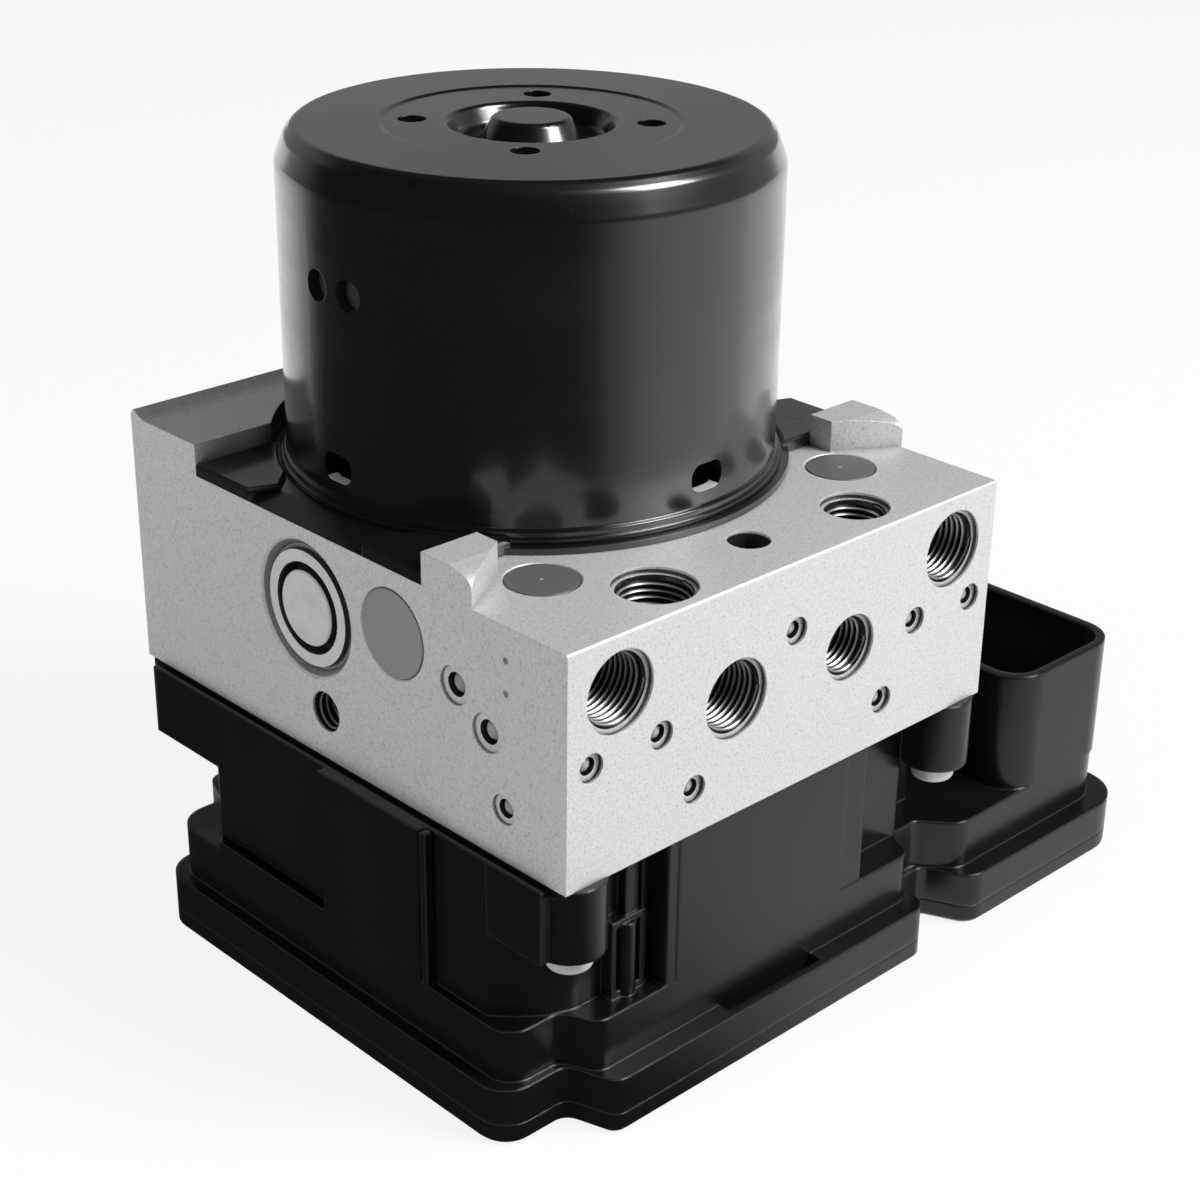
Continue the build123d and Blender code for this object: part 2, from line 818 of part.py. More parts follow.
with BuildPart() as brush_holder:
    holder_bottom = block_top + plate_thickness
    with BuildSketch(Plane.XY.offset(holder_bottom)):
        Circle(can_radius - can_wall - running_gap)
        Circle(bearing_radius + 2.5, mode=Mode.SUBTRACT)
    extrude(amount=2.0)
    # Two square tubes that guide the brushes
    for side in (-1, 1):
        with BuildSketch(Plane((side * tube_start, 0, brush_z), z_dir=(side, 0, 0))):
            Rectangle(9.0, 11.0)
            Rectangle(6.2, 7.2, mode=Mode.SUBTRACT)
        extrude(amount=tube_end - tube_start)
finish(brush_holder.part, "brush_holder")

with BuildPart() as brushes:
    for side in (-1, 1):
        with BuildSketch(Plane((side * brush_start, 0, brush_z), z_dir=(side, 0, 0))):
            Rectangle(6.0, 7.0)
        extrude(amount=brush_length)
finish(brushes.part, "carbon_brushes")

with BuildPart() as brush_springs:
    for side in (-1, 1):
        with BuildSketch(Plane.XY.offset(brush_z - 2.0)):
            with BuildLine():
                bend = side * (brush_start + brush_length)
                Polyline(
                    (bend, -2.5),
                    (bend + side * 0.5, -2.5),
                    (bend + side * 0.5, 2.0),
                    (bend + side * 5.3, 2.6),
                    (bend + side * 5.3, 3.1),
                    (bend, 2.5),
                    close=True,
                )
            make_face()
        extrude(amount=4.0)
finish(brush_springs.part, "brush_springs")

with BuildPart() as upper_bearing:
    with BuildSketch(Plane.XY.offset(motor_top - 6.2)):
        Circle(bearing_seat)
        Circle(shaft_radius - 1.0 + running_gap, mode=Mode.SUBTRACT)
    extrude(amount=4.6)
finish(upper_bearing.part, "upper_bearing")

with BuildPart() as lower_bearing:
    with BuildSketch(Plane.XY.offset(block_top - 6.0)):
        Circle(chamber_radius)
        Circle(shaft_radius + running_gap, mode=Mode.SUBTRACT)
    extrude(amount=6.0)
finish(lower_bearing.part, "lower_bearing")

with BuildPart() as shaft:
    with BuildSketch(Plane.XY.offset(chamber_floor + 0.5)):
        Circle(shaft_radius)
    extrude(amount=motor_top - 8.0 - chamber_floor)
    with BuildSketch(Plane.XY.offset(motor_top - 8.0)):
        Circle(shaft_radius - 1.0)
    extrude(amount=6.2)
    with BuildSketch(Plane.XY.offset(pump_z - eccentric_height / 2)):
        with Locations((0, eccentric_offset)):
            Circle(eccentric_radius)
    extrude(amount=eccentric_height)
finish(shaft.part, "motor_shaft")

with BuildPart() as roller:
    with BuildSketch(Plane.XY.offset(pump_z - eccentric_height / 2)):
        with Locations((0, eccentric_offset)):
            Circle(roller_radius)
            Circle(eccentric_radius + 0.02, mode=Mode.SUBTRACT)
    extrude(amount=eccentric_height)
finish(roller.part, "eccentric_bearing")

with BuildPart() as core:
    slots = 12
    with BuildSketch(Plane.XY.offset(core_bottom)):
        Circle(core_radius)
        Circle(shaft_radius + 0.01, mode=Mode.SUBTRACT)
        with PolarLocations(slot_circle, slots):
            SlotOverall(12.0, 5.0, mode=Mode.SUBTRACT)
        with PolarLocations(core_radius, slots):
            Rectangle(8.0, 1.6, mode=Mode.SUBTRACT)
    extrude(amount=core_top - core_bottom)
finish(core.part, "armature_core")

with BuildPart() as windings:
    # One coil bundle through each slot, joined by the end turns
    with BuildSketch(Plane.XY.offset(core_bottom)):
        with PolarLocations(slot_circle, slots):
            SlotOverall(11.6, 4.6)
    extrude(amount=core_top - core_bottom)
    for level, height in ((core_bottom - 4.0, 4.0), (core_top, 4.0)):
        with BuildSketch(Plane.XY.offset(level)):
            Circle(winding_outer)
            Circle(winding_inner, mode=Mode.SUBTRACT)
        extrude(amount=height)
finish(windings.part, "armature_windings")

with BuildPart() as commutator:
    with BuildSketch(Plane.XY.offset(brush_z - 4.0)):
        Circle(commutator_radius)
        Circle(shaft_radius + 0.01, mode=Mode.SUBTRACT)
        with PolarLocations(commutator_radius, slots):
            Rectangle(2.4, 0.6, mode=Mode.SUBTRACT)
    extrude(amount=9.0)
finish(commutator.part, "commutator")

# Solenoid valves: a pressed-in body with its closed dome reaching down into the coil

valve_names = ("inlet_valves", "outlet_valves", "changeover_valves")
for row, name in zip(valve_rows, valve_names):
    with BuildPart() as valves:
        with BuildSketch(Plane.XY.offset(block_bottom + valve_depth)):
            with Locations((0, row)):
                with GridLocations(valve_pitch, 1, valve_columns, 1):
                    Circle(valve_radius)
        extrude(amount=-valve_depth)
        with BuildSketch(Plane.XY.offset(block_bottom)):
            with Locations((0, row)):
                with GridLocations(valve_pitch, 1, valve_columns, 1):
                    Circle(dome_radius)
        extrude(amount=dome_bottom - block_bottom)
    finish(valves.part, name)

with BuildPart() as coils:
    with BuildSketch(Plane.XY.offset(step_top)):
        for row in valve_rows:
            with Locations((0, row)):
                with GridLocations(valve_pitch, 1, valve_columns, 1):
                    Circle(coil_radius)
                    Circle(dome_radius + 0.2, mode=Mode.SUBTRACT)
    extrude(amount=coil_top - step_top)
finish(coils.part, "solenoid_coils")

with BuildPart() as sensor:
    with BuildSketch(Plane.XY.offset(block_bottom + valve_depth)):
        with Locations((0, sensor_y)):
            Circle(sensor_radius)
    extrude(amount=-valve_depth)
    with BuildSketch(Plane.XY.offset(block_bottom)):
        with Locations((0, sensor_y)):
            Circle(sensor_radius - 1.5)
    extrude(amount=step_top - block_bottom)
finish(sensor.part, "pressure_sensor")

# Control housing

with BuildPart() as housing:
    # Rim that the cover closes, and the notched wall above it
    with BuildSketch(Plane.XY.offset(cover_height)):
        with BuildLine():
            rounded(rim_outline())
        make_face()
    extrude(amount=rim_height)
    with BuildSketch(Plane.XY.offset(rim_top)):
        with BuildLine():
            rounded(step_outline())
        make_face()
    extrude(amount=step_height)
    # Coil box up to the block, set back at the bolts and stepped along its left wall
    with BuildSketch(Plane.XY.offset(step_top)):
        with BuildLine():
            box_front = port_face + 8.6
            box_side_front = port_face + 14.5
            box_side_rear = rear_face - 21.2
            panel_front = port_face + 29.0
            panel_rear = port_face + 54.0
            rounded(
                [
                    (front_wall_left, body_front + wall_relief, 0.4),
                    (front_wall_left + 2.4, body_front + wall_relief, 0.1),
                    (front_wall_left + 2.4, body_front, 0.1),
                    (front_wall_right - 5.6, body_front, 0.1),
                    (front_wall_right - 5.6, body_front + wall_relief, 0.1),
                    (front_wall_right, body_front + wall_relief, 0.8),
                    (front_wall_right, box_front - 0.7, 0.8),
                    (boss_x - 4.5, box_front - 0.7, 1.0),
                    (boss_x - 1.0, box_side_front, 1.0),
                    (body_side, box_side_front, 1.5),
                    (body_side, box_side_rear, 2.5),
                    (boss_x - 1.6, rear_face - 19.0, 1.0),
                    (boss_x - 4.5, rear_face - 12.0, 1.0),
                    (28.0, rear_face - 12.0, 1.0),
                    (28.0, body_rear - 1.0, 2.5),
                    (-28.0, body_rear - 1.0, 2.5),
                    (-28.0, rear_face - 12.0, 1.0),
                    (4.5 - boss_x, rear_face - 12.0, 1.0),
                    (1.6 - boss_x, rear_face - 19.0, 1.0),
                    (-body_side, box_side_rear, 2.5),
                    (-body_side, panel_rear, 0.4),
                    (body_left, panel_rear, 0.4),
                    (body_left, panel_front, 0.4),
                    (-body_side, panel_front, 0.4),
                    (-body_side, port_face + 15.2, 0.4),
                    (-boss_x - 3.8, port_face + 11.6, 3.0),
                    (-boss_x, port_face + 8.8, 4.0),
                    (4.0 - boss_x, recess_wall, 4.0),
                    (front_wall_left, recess_wall, 0.8),
                ]
            )
        make_face()
    extrude(amount=block_bottom - step_top)
    # Rib down the left wall, and the guides above the latch in the front left recess
    with BuildSketch(Plane.XY.offset(step_top)):
        with Locations((body_left + 0.6, panel_front - 1.2)):
            Rectangle(1.4, 1.2)
        with Locations((1.1 - latch_x, recess_wall - 0.8)):
            Rectangle(2.6, 2.0)
        with Locations((4.0 - latch_x, recess_wall - 0.8)):
            Rectangle(1.2, 2.0)
    extrude(amount=block_bottom - step_top)
    # Latch: a round post in a framed pocket
    latch_depth = recess_wall - latch_front
    with BuildSketch(Plane.XY.offset(step_top)):
        with Locations((-latch_x, recess_wall - latch_depth / 2)):
            Rectangle(latch_width, latch_depth)
    extrude(amount=latch_height)
    with BuildSketch(Plane.XZ.offset(-latch_front)):
        with Locations((-latch_x, step_top + latch_height / 2)):
            Rectangle(latch_width - 1.8, latch_height - 2.4)
    extrude(amount=-1.5 * latch_depth, mode=Mode.SUBTRACT)
    with BuildSketch(Plane.XY.offset(step_top)):
        with Locations((-latch_x, latch_front + 0.6)):
            Circle(latch_post)
    extrude(amount=latch_height - 0.8)
    # Lip along the left ledge behind the panel, and the undercut at the wall's foot
    lip_front = panel_rear - 0.5
    with BuildSketch(Plane.XY.offset(step_top)):
        with Locations((body_left, lip_front)):
            Rectangle(0.9, box_side_rear - lip_front - 2.5, align=(Align.MIN, Align.MIN))
    extrude(amount=1.5)
    with BuildSketch(Plane.XY.offset(step_top)):
        with Locations((-body_side, lip_front)):
            Rectangle(2.2, box_side_rear - lip_front - 1.0, align=(Align.MIN, Align.MIN))
    extrude(amount=1.8, mode=Mode.SUBTRACT)
    # Bolt bosses, each on a wing that ties it to the coil box
    with BuildSketch(Plane.XY.offset(block_bottom - boss_height)):
        for side in (-1, 1):
            with Locations((side * boss_x, front_boss_y), (side * boss_x, rear_boss_y)):
                Circle(boss_radius)
            wing_x = side * (body_side - wing_width / 2)
            with Locations((wing_x, port_face + 9.0)):
                Rectangle(wing_width, 12.0)
            with Locations((wing_x, rear_face - 13.5)):
                Rectangle(wing_width, 18.0)
    extrude(amount=boss_height)
    # Gap left open along the block's lower side edges
    with BuildSketch(Plane.XY.offset(block_bottom)):
        for side in (-1, 1):
            with Locations((side * (half_block + side_gap / 2), port_face + block_depth / 2)):
                Rectangle(side_gap, block_depth + 2 * boss_radius)
    extrude(amount=-side_gap_depth, mode=Mode.SUBTRACT)
    # Connector shroud
    with BuildSketch(Plane.XY.offset(step_top)):
        shroud_x = (shroud_left + shroud_right) / 2
        shroud_y = (body_front + shroud_rear) / 2
        with Locations((shroud_x, shroud_y)):
            RectangleRounded(shroud_right - shroud_left, shroud_rear - body_front, 7.0)
    extrude(amount=shroud_top - step_top)
    with BuildSketch(Plane.XY.offset(shroud_floor)):
        with Locations((shroud_x, shroud_y)):
            RectangleRounded(
                shroud_right - shroud_left - 2 * shroud_wall,
                shroud_rear - body_front - 2 * shroud_wall,
                7.0 - shroud_wall,
            )
    extrude(amount=shroud_top - shroud_floor, mode=Mode.SUBTRACT)
    # Coil cavity, open to the block
    with BuildSketch(Plane.XY.offset(step_top)):
        bays(0)
    extrude(amount=block_bottom - step_top, mode=Mode.SUBTRACT)
    # Board cavity, open to the cover
    with BuildSketch(Plane.XY.offset(cover_height)):
        board_plan(0)
    extrude(amount=board_room - cover_height, mode=Mode.SUBTRACT)
    # Bolt clearance, and the slot in the rim under the front wall
    with BuildSketch(Plane.XY.offset(block_bottom)):
        for side in (-1, 1):
            with Locations((side * boss_x, front_boss_y), (side * boss_x, rear_boss_y)):
                Circle(bolt_radius + 0.3)
    extrude(amount=-boss_height, mode=Mode.SUBTRACT)
    with BuildSketch(Plane.XY.offset(rim_top)):
        with Locations(((front_wall_left + front_wall_right) / 2, body_front - 1.2)):
            Rectangle(22.0, 2.4)
    extrude(amount=-2.6, mode=Mode.SUBTRACT)
    # Slots for the connector pins and the motor terminals
    with BuildSketch(Plane.XY.offset(board_room)):
        pin_pattern()
        with Locations((0, terminal_y)):
            Rectangle(7.0, 2.0)
    extrude(amount=step_top - board_room, mode=Mode.SUBTRACT)
    # Gasket groove
    with BuildSketch(Plane.XY.offset(block_bottom)):
        bays(gasket_width)
    extrude(amount=-gasket_depth, mode=Mode.SUBTRACT)
finish(housing.part, "control_housing")

with BuildPart() as gasket:
    with BuildSketch(Plane.XY.offset(block_bottom)):
        bays(gasket_width)
        bays(0, Mode.SUBTRACT)
    extrude(amount=-gasket_depth)
finish(gasket.part, "housing_gasket")

# Cover with a fine edge break

with BuildPart() as cover:
    with BuildSketch():
        with BuildLine():
            rounded(rim_outline())
        make_face()
    extrude(amount=cover_height)
    chamfer(cover.faces().sort_by(Axis.Z)[0].edges(), length=0.8)
    # Groove for the seal
    with BuildSketch(Plane.XY.offset(cover_height)):
        board_plan(seal_outer)
        board_plan(seal_inner, Mode.SUBTRACT)
    extrude(amount=-seal_height, mode=Mode.SUBTRACT)
    # Groove in the underside that frames its two panels
    with BuildSketch():
        board_plan(-2.0)
        board_plan(-3.2, Mode.SUBTRACT)
    extrude(amount=0.5, mode=Mode.SUBTRACT)
finish(cover.part, "control_cover")

with BuildPart() as board:
    with BuildSketch(Plane.XY.offset(board_bottom)):
        board_plan(-board_gap)
    extrude(amount=board_thickness)
finish(board.part, "circuit_board")

with BuildPart() as processor:
    with BuildSketch(Plane.XY.offset(board_bottom)):
        with Locations((-20.0, -5.0)):
            Rectangle(20.0, 20.0)
    extrude(amount=-1.8)
finish(processor.part, "processor_chip")

with BuildPart() as drivers:
    with BuildSketch(Plane.XY.offset(board_bottom)):
        with Locations((8.0, -20.0), (8.0, 6.0), (28.0, -20.0)):
            Rectangle(12.0, 14.0)
    extrude(amount=-1.6)
finish(drivers.part, "driver_chips")

with BuildPart() as capacitors:
    with BuildSketch(Plane.XY.offset(board_bottom)):
        with Locations((pad_x - 6.0, pad_board_rear - 20.0), (pad_x + 6.0, pad_board_rear - 8.0)):
            Circle(capacitor_radius)
        with Locations((pad_x - 6.0, pad_board_rear - 8.0)):
            Circle(capacitor_radius)
    extrude(amount=-4.4)
finish(capacitors.part, "board_capacitors")

with BuildPart() as pins:
    with BuildSketch(Plane.XY.offset(board_top)):
        pin_pattern()
    extrude(amount=pin_top - board_top)
finish(pins.part, "connector_pins")

with BuildPart() as terminals:
    with BuildSketch(Plane.XY.offset(board_top)):
        with Locations((-2.0, terminal_y), (2.0, terminal_y)):
            Rectangle(2.4, 0.8)
    extrude(amount=block_top + plate_thickness - board_top)
finish(terminals.part, "motor_terminals")

with BuildPart() as seal:
    with BuildSketch(Plane.XY.offset(cover_height - seal_height)):
        board_plan(seal_outer)
        board_plan(seal_inner, Mode.SUBTRACT)
    extrude(amount=seal_height)
finish(seal.part, "cover_seal")

# Housing bolts, up through the bosses into the block

with BuildPart() as bolts:
    for side in (-1, 1):
        for y in (front_boss_y, rear_boss_y):
            with Locations((side * boss_x, y, block_bottom - boss_height)):
                Cylinder(
                    bolt_head_radius, bolt_head_height, align=(Align.CENTER, Align.CENTER, Align.MAX)
                )
                Cylinder(
                    bolt_radius - 0.05,
                    boss_height + bolt_reach - 1,
                    align=(Align.CENTER, Align.CENTER, Align.MIN),
                )
    # Domed heads
    fillet(bolts.edges().group_by(Axis.Z)[0], radius=bolt_head_edge)
finish(bolts.part, "housing_bolts")
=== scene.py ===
import json
import math

import bmesh
import bpy
from bpy.props import FloatProperty, FloatVectorProperty, IntProperty, PointerProperty
from mathutils import Matrix, Vector


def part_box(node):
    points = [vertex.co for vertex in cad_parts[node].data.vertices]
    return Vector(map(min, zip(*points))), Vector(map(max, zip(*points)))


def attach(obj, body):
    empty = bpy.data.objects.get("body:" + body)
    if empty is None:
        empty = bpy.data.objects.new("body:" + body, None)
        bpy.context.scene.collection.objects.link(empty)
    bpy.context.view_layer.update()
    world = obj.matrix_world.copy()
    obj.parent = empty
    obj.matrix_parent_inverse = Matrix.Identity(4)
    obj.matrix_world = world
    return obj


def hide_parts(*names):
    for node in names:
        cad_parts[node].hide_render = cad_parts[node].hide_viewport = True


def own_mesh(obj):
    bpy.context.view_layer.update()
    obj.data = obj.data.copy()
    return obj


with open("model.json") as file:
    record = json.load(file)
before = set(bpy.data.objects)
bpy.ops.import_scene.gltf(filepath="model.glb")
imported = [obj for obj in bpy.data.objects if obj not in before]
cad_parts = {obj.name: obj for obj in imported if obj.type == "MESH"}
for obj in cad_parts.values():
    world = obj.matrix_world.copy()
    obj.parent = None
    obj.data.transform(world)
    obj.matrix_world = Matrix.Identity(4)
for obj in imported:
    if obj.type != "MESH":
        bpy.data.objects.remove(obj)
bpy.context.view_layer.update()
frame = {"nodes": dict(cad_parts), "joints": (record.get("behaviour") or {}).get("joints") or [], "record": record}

bl_info = {
    "name": "Anti-lock brake unit dressing",
    "version": (1, 0, 0),
    "blender": (4, 5, 0),
    "location": "View3D > Sidebar > Brake unit",
    "description": "Finishes and fine detail for the brake hydraulic unit",
    "category": "Object",
}

# Landmarks of the unit in metres, read from the CAD
BLOCK_LOW, BLOCK_HIGH = (Vector(corner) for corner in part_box("hydraulic_block"))
HALF_BLOCK = BLOCK_HIGH.x
PORT_FACE = BLOCK_LOW.y
REAR_FACE = BLOCK_HIGH.y
BLOCK_BOTTOM = BLOCK_LOW.z
BLOCK_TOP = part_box("top_channel_caps")[1][2]

# Lower edge of the windows in the motor can, with half the height of the painted highlight on its sill
WINDOW_SILL = BLOCK_TOP + 0.0055
SILL_HIGHLIGHT_REACH = 0.0004

# Direction on the floor that points away from the camera
AWAY_X = 0.69
AWAY_Y = 0.72

# Thread ridge: share of a turn over which it grows out of its bore, half its foot as a share of the
# pitch, and how far its outer corner is drawn in, as a share of its height
RUN_IN = 0.3
HALF_FOOT = 0.46
DRAWN_IN = 0.9

# Smooth shading breaks at edges that turn by more than this
CREASE = math.radians(60.0)


# Sizes and colours


class CameraSettings(bpy.types.PropertyGroup):
    """Where the picture is taken from."""

    position: FloatVectorProperty(
        name="Position",
        description="Camera position in the unit's frame",
        size=3,
        subtype="TRANSLATION",
        unit="LENGTH",
        default=(-0.243584, -0.269460, 0.228694),
    )
    azimuth: FloatProperty(
        name="Azimuth",
        description="Turn round the unit, in degrees",
        default=-43.979,
    )
    elevation: FloatProperty(
        name="Elevation",
        description="Height above the horizon, in degrees",
        default=25.099,
    )
    roll: FloatProperty(name="Roll", description="Tilt of the picture, in degrees", default=0.796)
    lens: FloatProperty(
        name="Lens",
        description="Focal length in mm, for the sensor's width",
        default=69.64,
        min=1.0,
    )
    sensor: FloatProperty(name="Sensor", description="Width of the sensor, in mm", default=36.0, min=1.0)


class BlockSettings(bpy.types.PropertyGroup):
    """Finish and threads of the aluminium block."""

    metal: FloatVectorProperty(
        name="Aluminium",
        description="Colour of the blasted aluminium",
        size=3,
        subtype="COLOR",
        default=(0.765, 0.77, 0.78),
    )
    side_cap_metal: FloatVectorProperty(
        name="Side caps",
        description="Colour of the dull caps in the side faces",
        size=3,
        subtype="COLOR",
        default=(0.30, 0.301, 0.304),
    )
    top_cap_metal: FloatVectorProperty(
        name="Top caps",
        description="Colour of the dull caps in the top",
        size=3,
        subtype="COLOR",
        default=(0.16, 0.161, 0.163),
    )
    plug_metal: FloatVectorProperty(
        name="Ball plugs",
        description="Colour of the staked balls",
        size=3,
        subtype="COLOR",
        default=(0.55, 0.55, 0.56),
    )
    thread_pitch: FloatProperty(
        name="Thread pitch",
        description="Distance between the ridges of the line ports",
        subtype="DISTANCE",
        unit="LENGTH",
        default=0.0011,
        min=0.0005,
    )
    bracket_pitch: FloatProperty(
        name="Bracket pitch",
        description="Distance between the ridges of the bracket holes",
        subtype="DISTANCE",
        unit="LENGTH",
        default=0.00125,
        min=0.0005,
    )
    thread_lead: FloatProperty(
        name="Thread lead-in",
        description="Plain bore before the first ridge of a line port",
        subtype="DISTANCE",
        unit="LENGTH",
        default=0.0014,
        min=0.0,
    )
    thread_height: FloatProperty(
        name="Thread height",
        description="How far the ridges stand in from the bore",
        subtype="DISTANCE",
        unit="LENGTH",
        default=0.0006,
        min=0.0002,
    )
    thread_steps: IntProperty(
        name="Thread steps",
        description="Segments in one turn of thread",
        default=40,
        min=12,
    )


class MotorSettings(bpy.types.PropertyGroup):
    """Finish of the motor."""

    paint: FloatVectorProperty(
        name="Paint",
        description="Colour of the motor's black coat",
        size=3,
        subtype="COLOR",
        default=(0.0055, 0.0055, 0.0058),
    )
    roughness: FloatProperty(
        name="Roughness",
        description="Roughness of the black coat",
        default=0.2,
        min=0.0,
        max=1.0,
    )


class HousingSettings(bpy.types.PropertyGroup):
    """Finish of the control unit."""

    plastic: FloatVectorProperty(
        name="Plastic",
        description="Colour of the moulded housing",
        size=3,
        subtype="COLOR",
        default=(0.0055, 0.0056, 0.0059),
    )
    roughness: FloatProperty(
        name="Roughness",
        description="Roughness of the plastic",
        default=0.24,
        min=0.0,
        max=1.0,
    )


# Shader expressions


class Wire:
    """A socket of a bench's nodes that can be used in Python sums."""

    def __init__(self, bench, socket):
        self.bench = bench
        self.socket = socket

    def _math(self, operation, *values):
        return self.bench.node("ShaderNodeMath", dict(enumerate(values)), operation=operation)

    def __add__(self, other):
        return self._math("ADD", self, other)

    def __radd__(self, other):
        return self._math("ADD", other, self)

    def __sub__(self, other):
        return self._math("SUBTRACT", self, other)

    def __rsub__(self, other):
        return self._math("SUBTRACT", other, self)

    def __mul__(self, other):
        return self._math("MULTIPLY", self, other)

    def __rmul__(self, other):
        return self._math("MULTIPLY", other, self)

    def __truediv__(self, other):
        return self._math("DIVIDE", self, other)

    def __rtruediv__(self, other):
        return self._math("DIVIDE", other, self)

    def __pow__(self, other):
        return self._math("POWER", self, other)

    def __gt__(self, other):
        return self._math("GREATER_THAN", self, other)

    def __lt__(self, other):
        return self._math("LESS_THAN", self, other)

    def __abs__(self):
        return self._math("ABSOLUTE", self)

    def least(self, other):
        """The smaller of this value and another."""
        return self._math("MINIMUM", self, other)

    def sine(self):
        """The sine of an angle in radians."""
        return self._math("SINE", self)

    def clipped(self):
        """The value held between 0 and 1."""
        return self.bench.node("ShaderNodeClamp", {"Value": self})

    def ramp(self, low, high):
        """0 below low and 1 above high, easing between them."""
        inputs = {"Value": self, "From Min": low, "From Max": high, "To Min": 0.0, "To Max": 1.0}
        return self.bench.node("ShaderNodeMapRange", inputs, interpolation_type="SMOOTHSTEP")


class Bench:
    """A node tree that is emptied, and then filled by Python sums up to its output node."""

    def __init__(self, tree, ending):
        self.tree = tree
        tree.nodes.clear()
        self.output = tree.nodes.new(ending)

    def node(self, kind, inputs=None, output=0, **settings):
        """A node with its settings made first and its sockets filled after."""
        made = self.tree.nodes.new(kind)
        for key, value in settings.items():
            setattr(made, key, value)
        for key, value in (inputs or {}).items():
            self.feed(made.inputs[key], value)
        return Wire(self, made.outputs[output])

    def feed(self, socket, value):
        """Links a wire to a socket, or sets the socket's own value."""
        if isinstance(value, Wire):
            self.tree.links.new(value.socket, socket)
        elif hasattr(value, "__len__") and socket.type == "RGBA" and len(value) == 3:
            socket.default_value = (*value, 1.0)
        else:
            socket.default_value = value

    def part(self, vector, letter):
        """One coordinate of a vector."""
        return self.node("ShaderNodeSeparateXYZ", {0: vector}, output="XYZ".index(letter))

    def blend(self, mask, first, second):
        """Colour that goes from first to second as the mask goes from 0 to 1."""
        inputs = {0: mask, 6: first, 7: second}
        return self.node("ShaderNodeMix", inputs, output=2, data_type="RGBA")

    def mixed(self, mask, first, second):
        """Shader that goes from first to second as the mask goes from 0 to 1."""
        return self.node("ShaderNodeMixShader", {0: mask, 1: first, 2: second})


class Shop(Bench):
    """The node tree of one material, with its Principled shader and its place, in object metres."""

    def __init__(self, name):
        self.material = bpy.data.materials.new(name)
        self.material.use_nodes = True
        super().__init__(self.material.node_tree, "ShaderNodeOutputMaterial")
        self.shader = self.tree.nodes.new("ShaderNodeBsdfPrincipled")
        self.tree.links.new(self.shader.outputs[0], self.output.inputs[0])
        self.place = self.node("ShaderNodeTexCoord", output="Object")

    def axis(self, letter):
        """One coordinate of the place."""
        return self.part(self.place, letter)

    def normal(self):
        """Normal of the surface."""
        return self.node("ShaderNodeNewGeometry", output="Normal")

    def stretched(self, scale):
        """The place with each axis scaled."""
        return self.node("ShaderNodeMapping", {"Vector": self.place, "Scale": scale})

    def noise(self, scale, detail=2.0, roughness=0.5, vector=None):
        """Soft noise whose features are about 1/scale metres across."""
        inputs = {"Vector": vector or self.place, "Scale": scale, "Detail": detail, "Roughness": roughness}
        return self.node("ShaderNodeTexNoise", inputs)

    def cells(self, scale):
        """Distance to the nearest of many scattered points."""
        return self.node("ShaderNodeTexVoronoi", {"Vector": self.place, "Scale": scale})

    def far_from(self, point):
        """Distance from a point."""
        inputs = {0: self.place, 1: point}
        return self.node("ShaderNodeVectorMath", inputs, output="Value", operation="DISTANCE")

    def relief(self, height, strength, distance, round_edges=0.0):
        """Bump from a height, over edges that catch the light as if slightly rounded."""
        inputs = {"Height": height, "Strength": strength, "Distance": distance}
        if round_edges:
            inputs["Normal"] = self.rounded(round_edges)
        self.feed(self.shader.inputs["Normal"], self.node("ShaderNodeBump", inputs))

    def hollow_shade(self, reach, low=0.25, high=0.85):
        """Mask of painted shade: 0 on open surfaces, towards 1 in holes, gaps and corners."""
        open_air = self.node("ShaderNodeAmbientOcclusion", {"Distance": reach}, output="AO", samples=8)
        return (1.0 - open_air).ramp(low, high)

    def rounded(self, radius):
        """Normal that turns softly over an edge."""
        return self.node("ShaderNodeBevel", {"Radius": radius}, samples=6)

    def edge_mask(self, radius):
        """1 along the edges and 0 on flat surfaces, the mask for painted edge highlights."""
        inputs = {0: self.rounded(radius), 1: self.normal()}
        alike = self.node("ShaderNodeVectorMath", inputs, output="Value", operation="DOT_PRODUCT")
        return (1.0 - alike).ramp(0.02, 0.25)

    def set(self, **values):
        """Sets or links sockets of the Principled shader by name."""
        for key, value in values.items():
            self.feed(self.shader.inputs[key.replace("_", " ")], value)
        return self.material


def grey(level):
    """A neutral colour."""
    return (level, level, level)


def toned(colour, share):
    """A colour made darker or lighter."""
    return tuple(share * part for part in colour)


def studio_level(x, y):
    """How bright the studio is in a direction: white behind the unit, grey to the right, dark in front."""
    reach = (x * x + y * y + 0.0001) ** 0.5
    behind = (x * AWAY_X + y * AWAY_Y) / reach
    right = (x * AWAY_Y - y * AWAY_X) / reach
    return (behind.ramp(0.2, 0.65) + right.ramp(0.35, 0.95) * 0.75 + 0.03).clipped()


# Finishes of the object


def bored_wall(shop):
    """1 on the walls of the holes in the block, 0 on its six faces and on the flat steps in its holes; it sets
    painted shade and smoother metal on those walls.
    """
    from_side = HALF_BLOCK - abs(shop.axis("X"))
    from_end = (shop.axis("Y") - PORT_FACE).least(REAR_FACE - shop.axis("Y"))
    from_level = (BLOCK_TOP - shop.axis("Z")).least(shop.axis("Z") - BLOCK_BOTTOM)
    inside = from_side.least(from_end).least(from_level).ramp(0.00032, 0.0005)
    at_end = (from_end < from_side) * (from_end < from_level)
    at_side = (from_side < from_end) * (from_side < from_level)
    at_level = 1.0 - at_end - at_side
    normal = shop.normal()
    x, y, z = (abs(shop.part(normal, letter)) for letter in "XYZ")
    outward = at_side * x + at_end * y + at_level * z
    return inside * (1.0 - outward.ramp(0.5, 0.95))


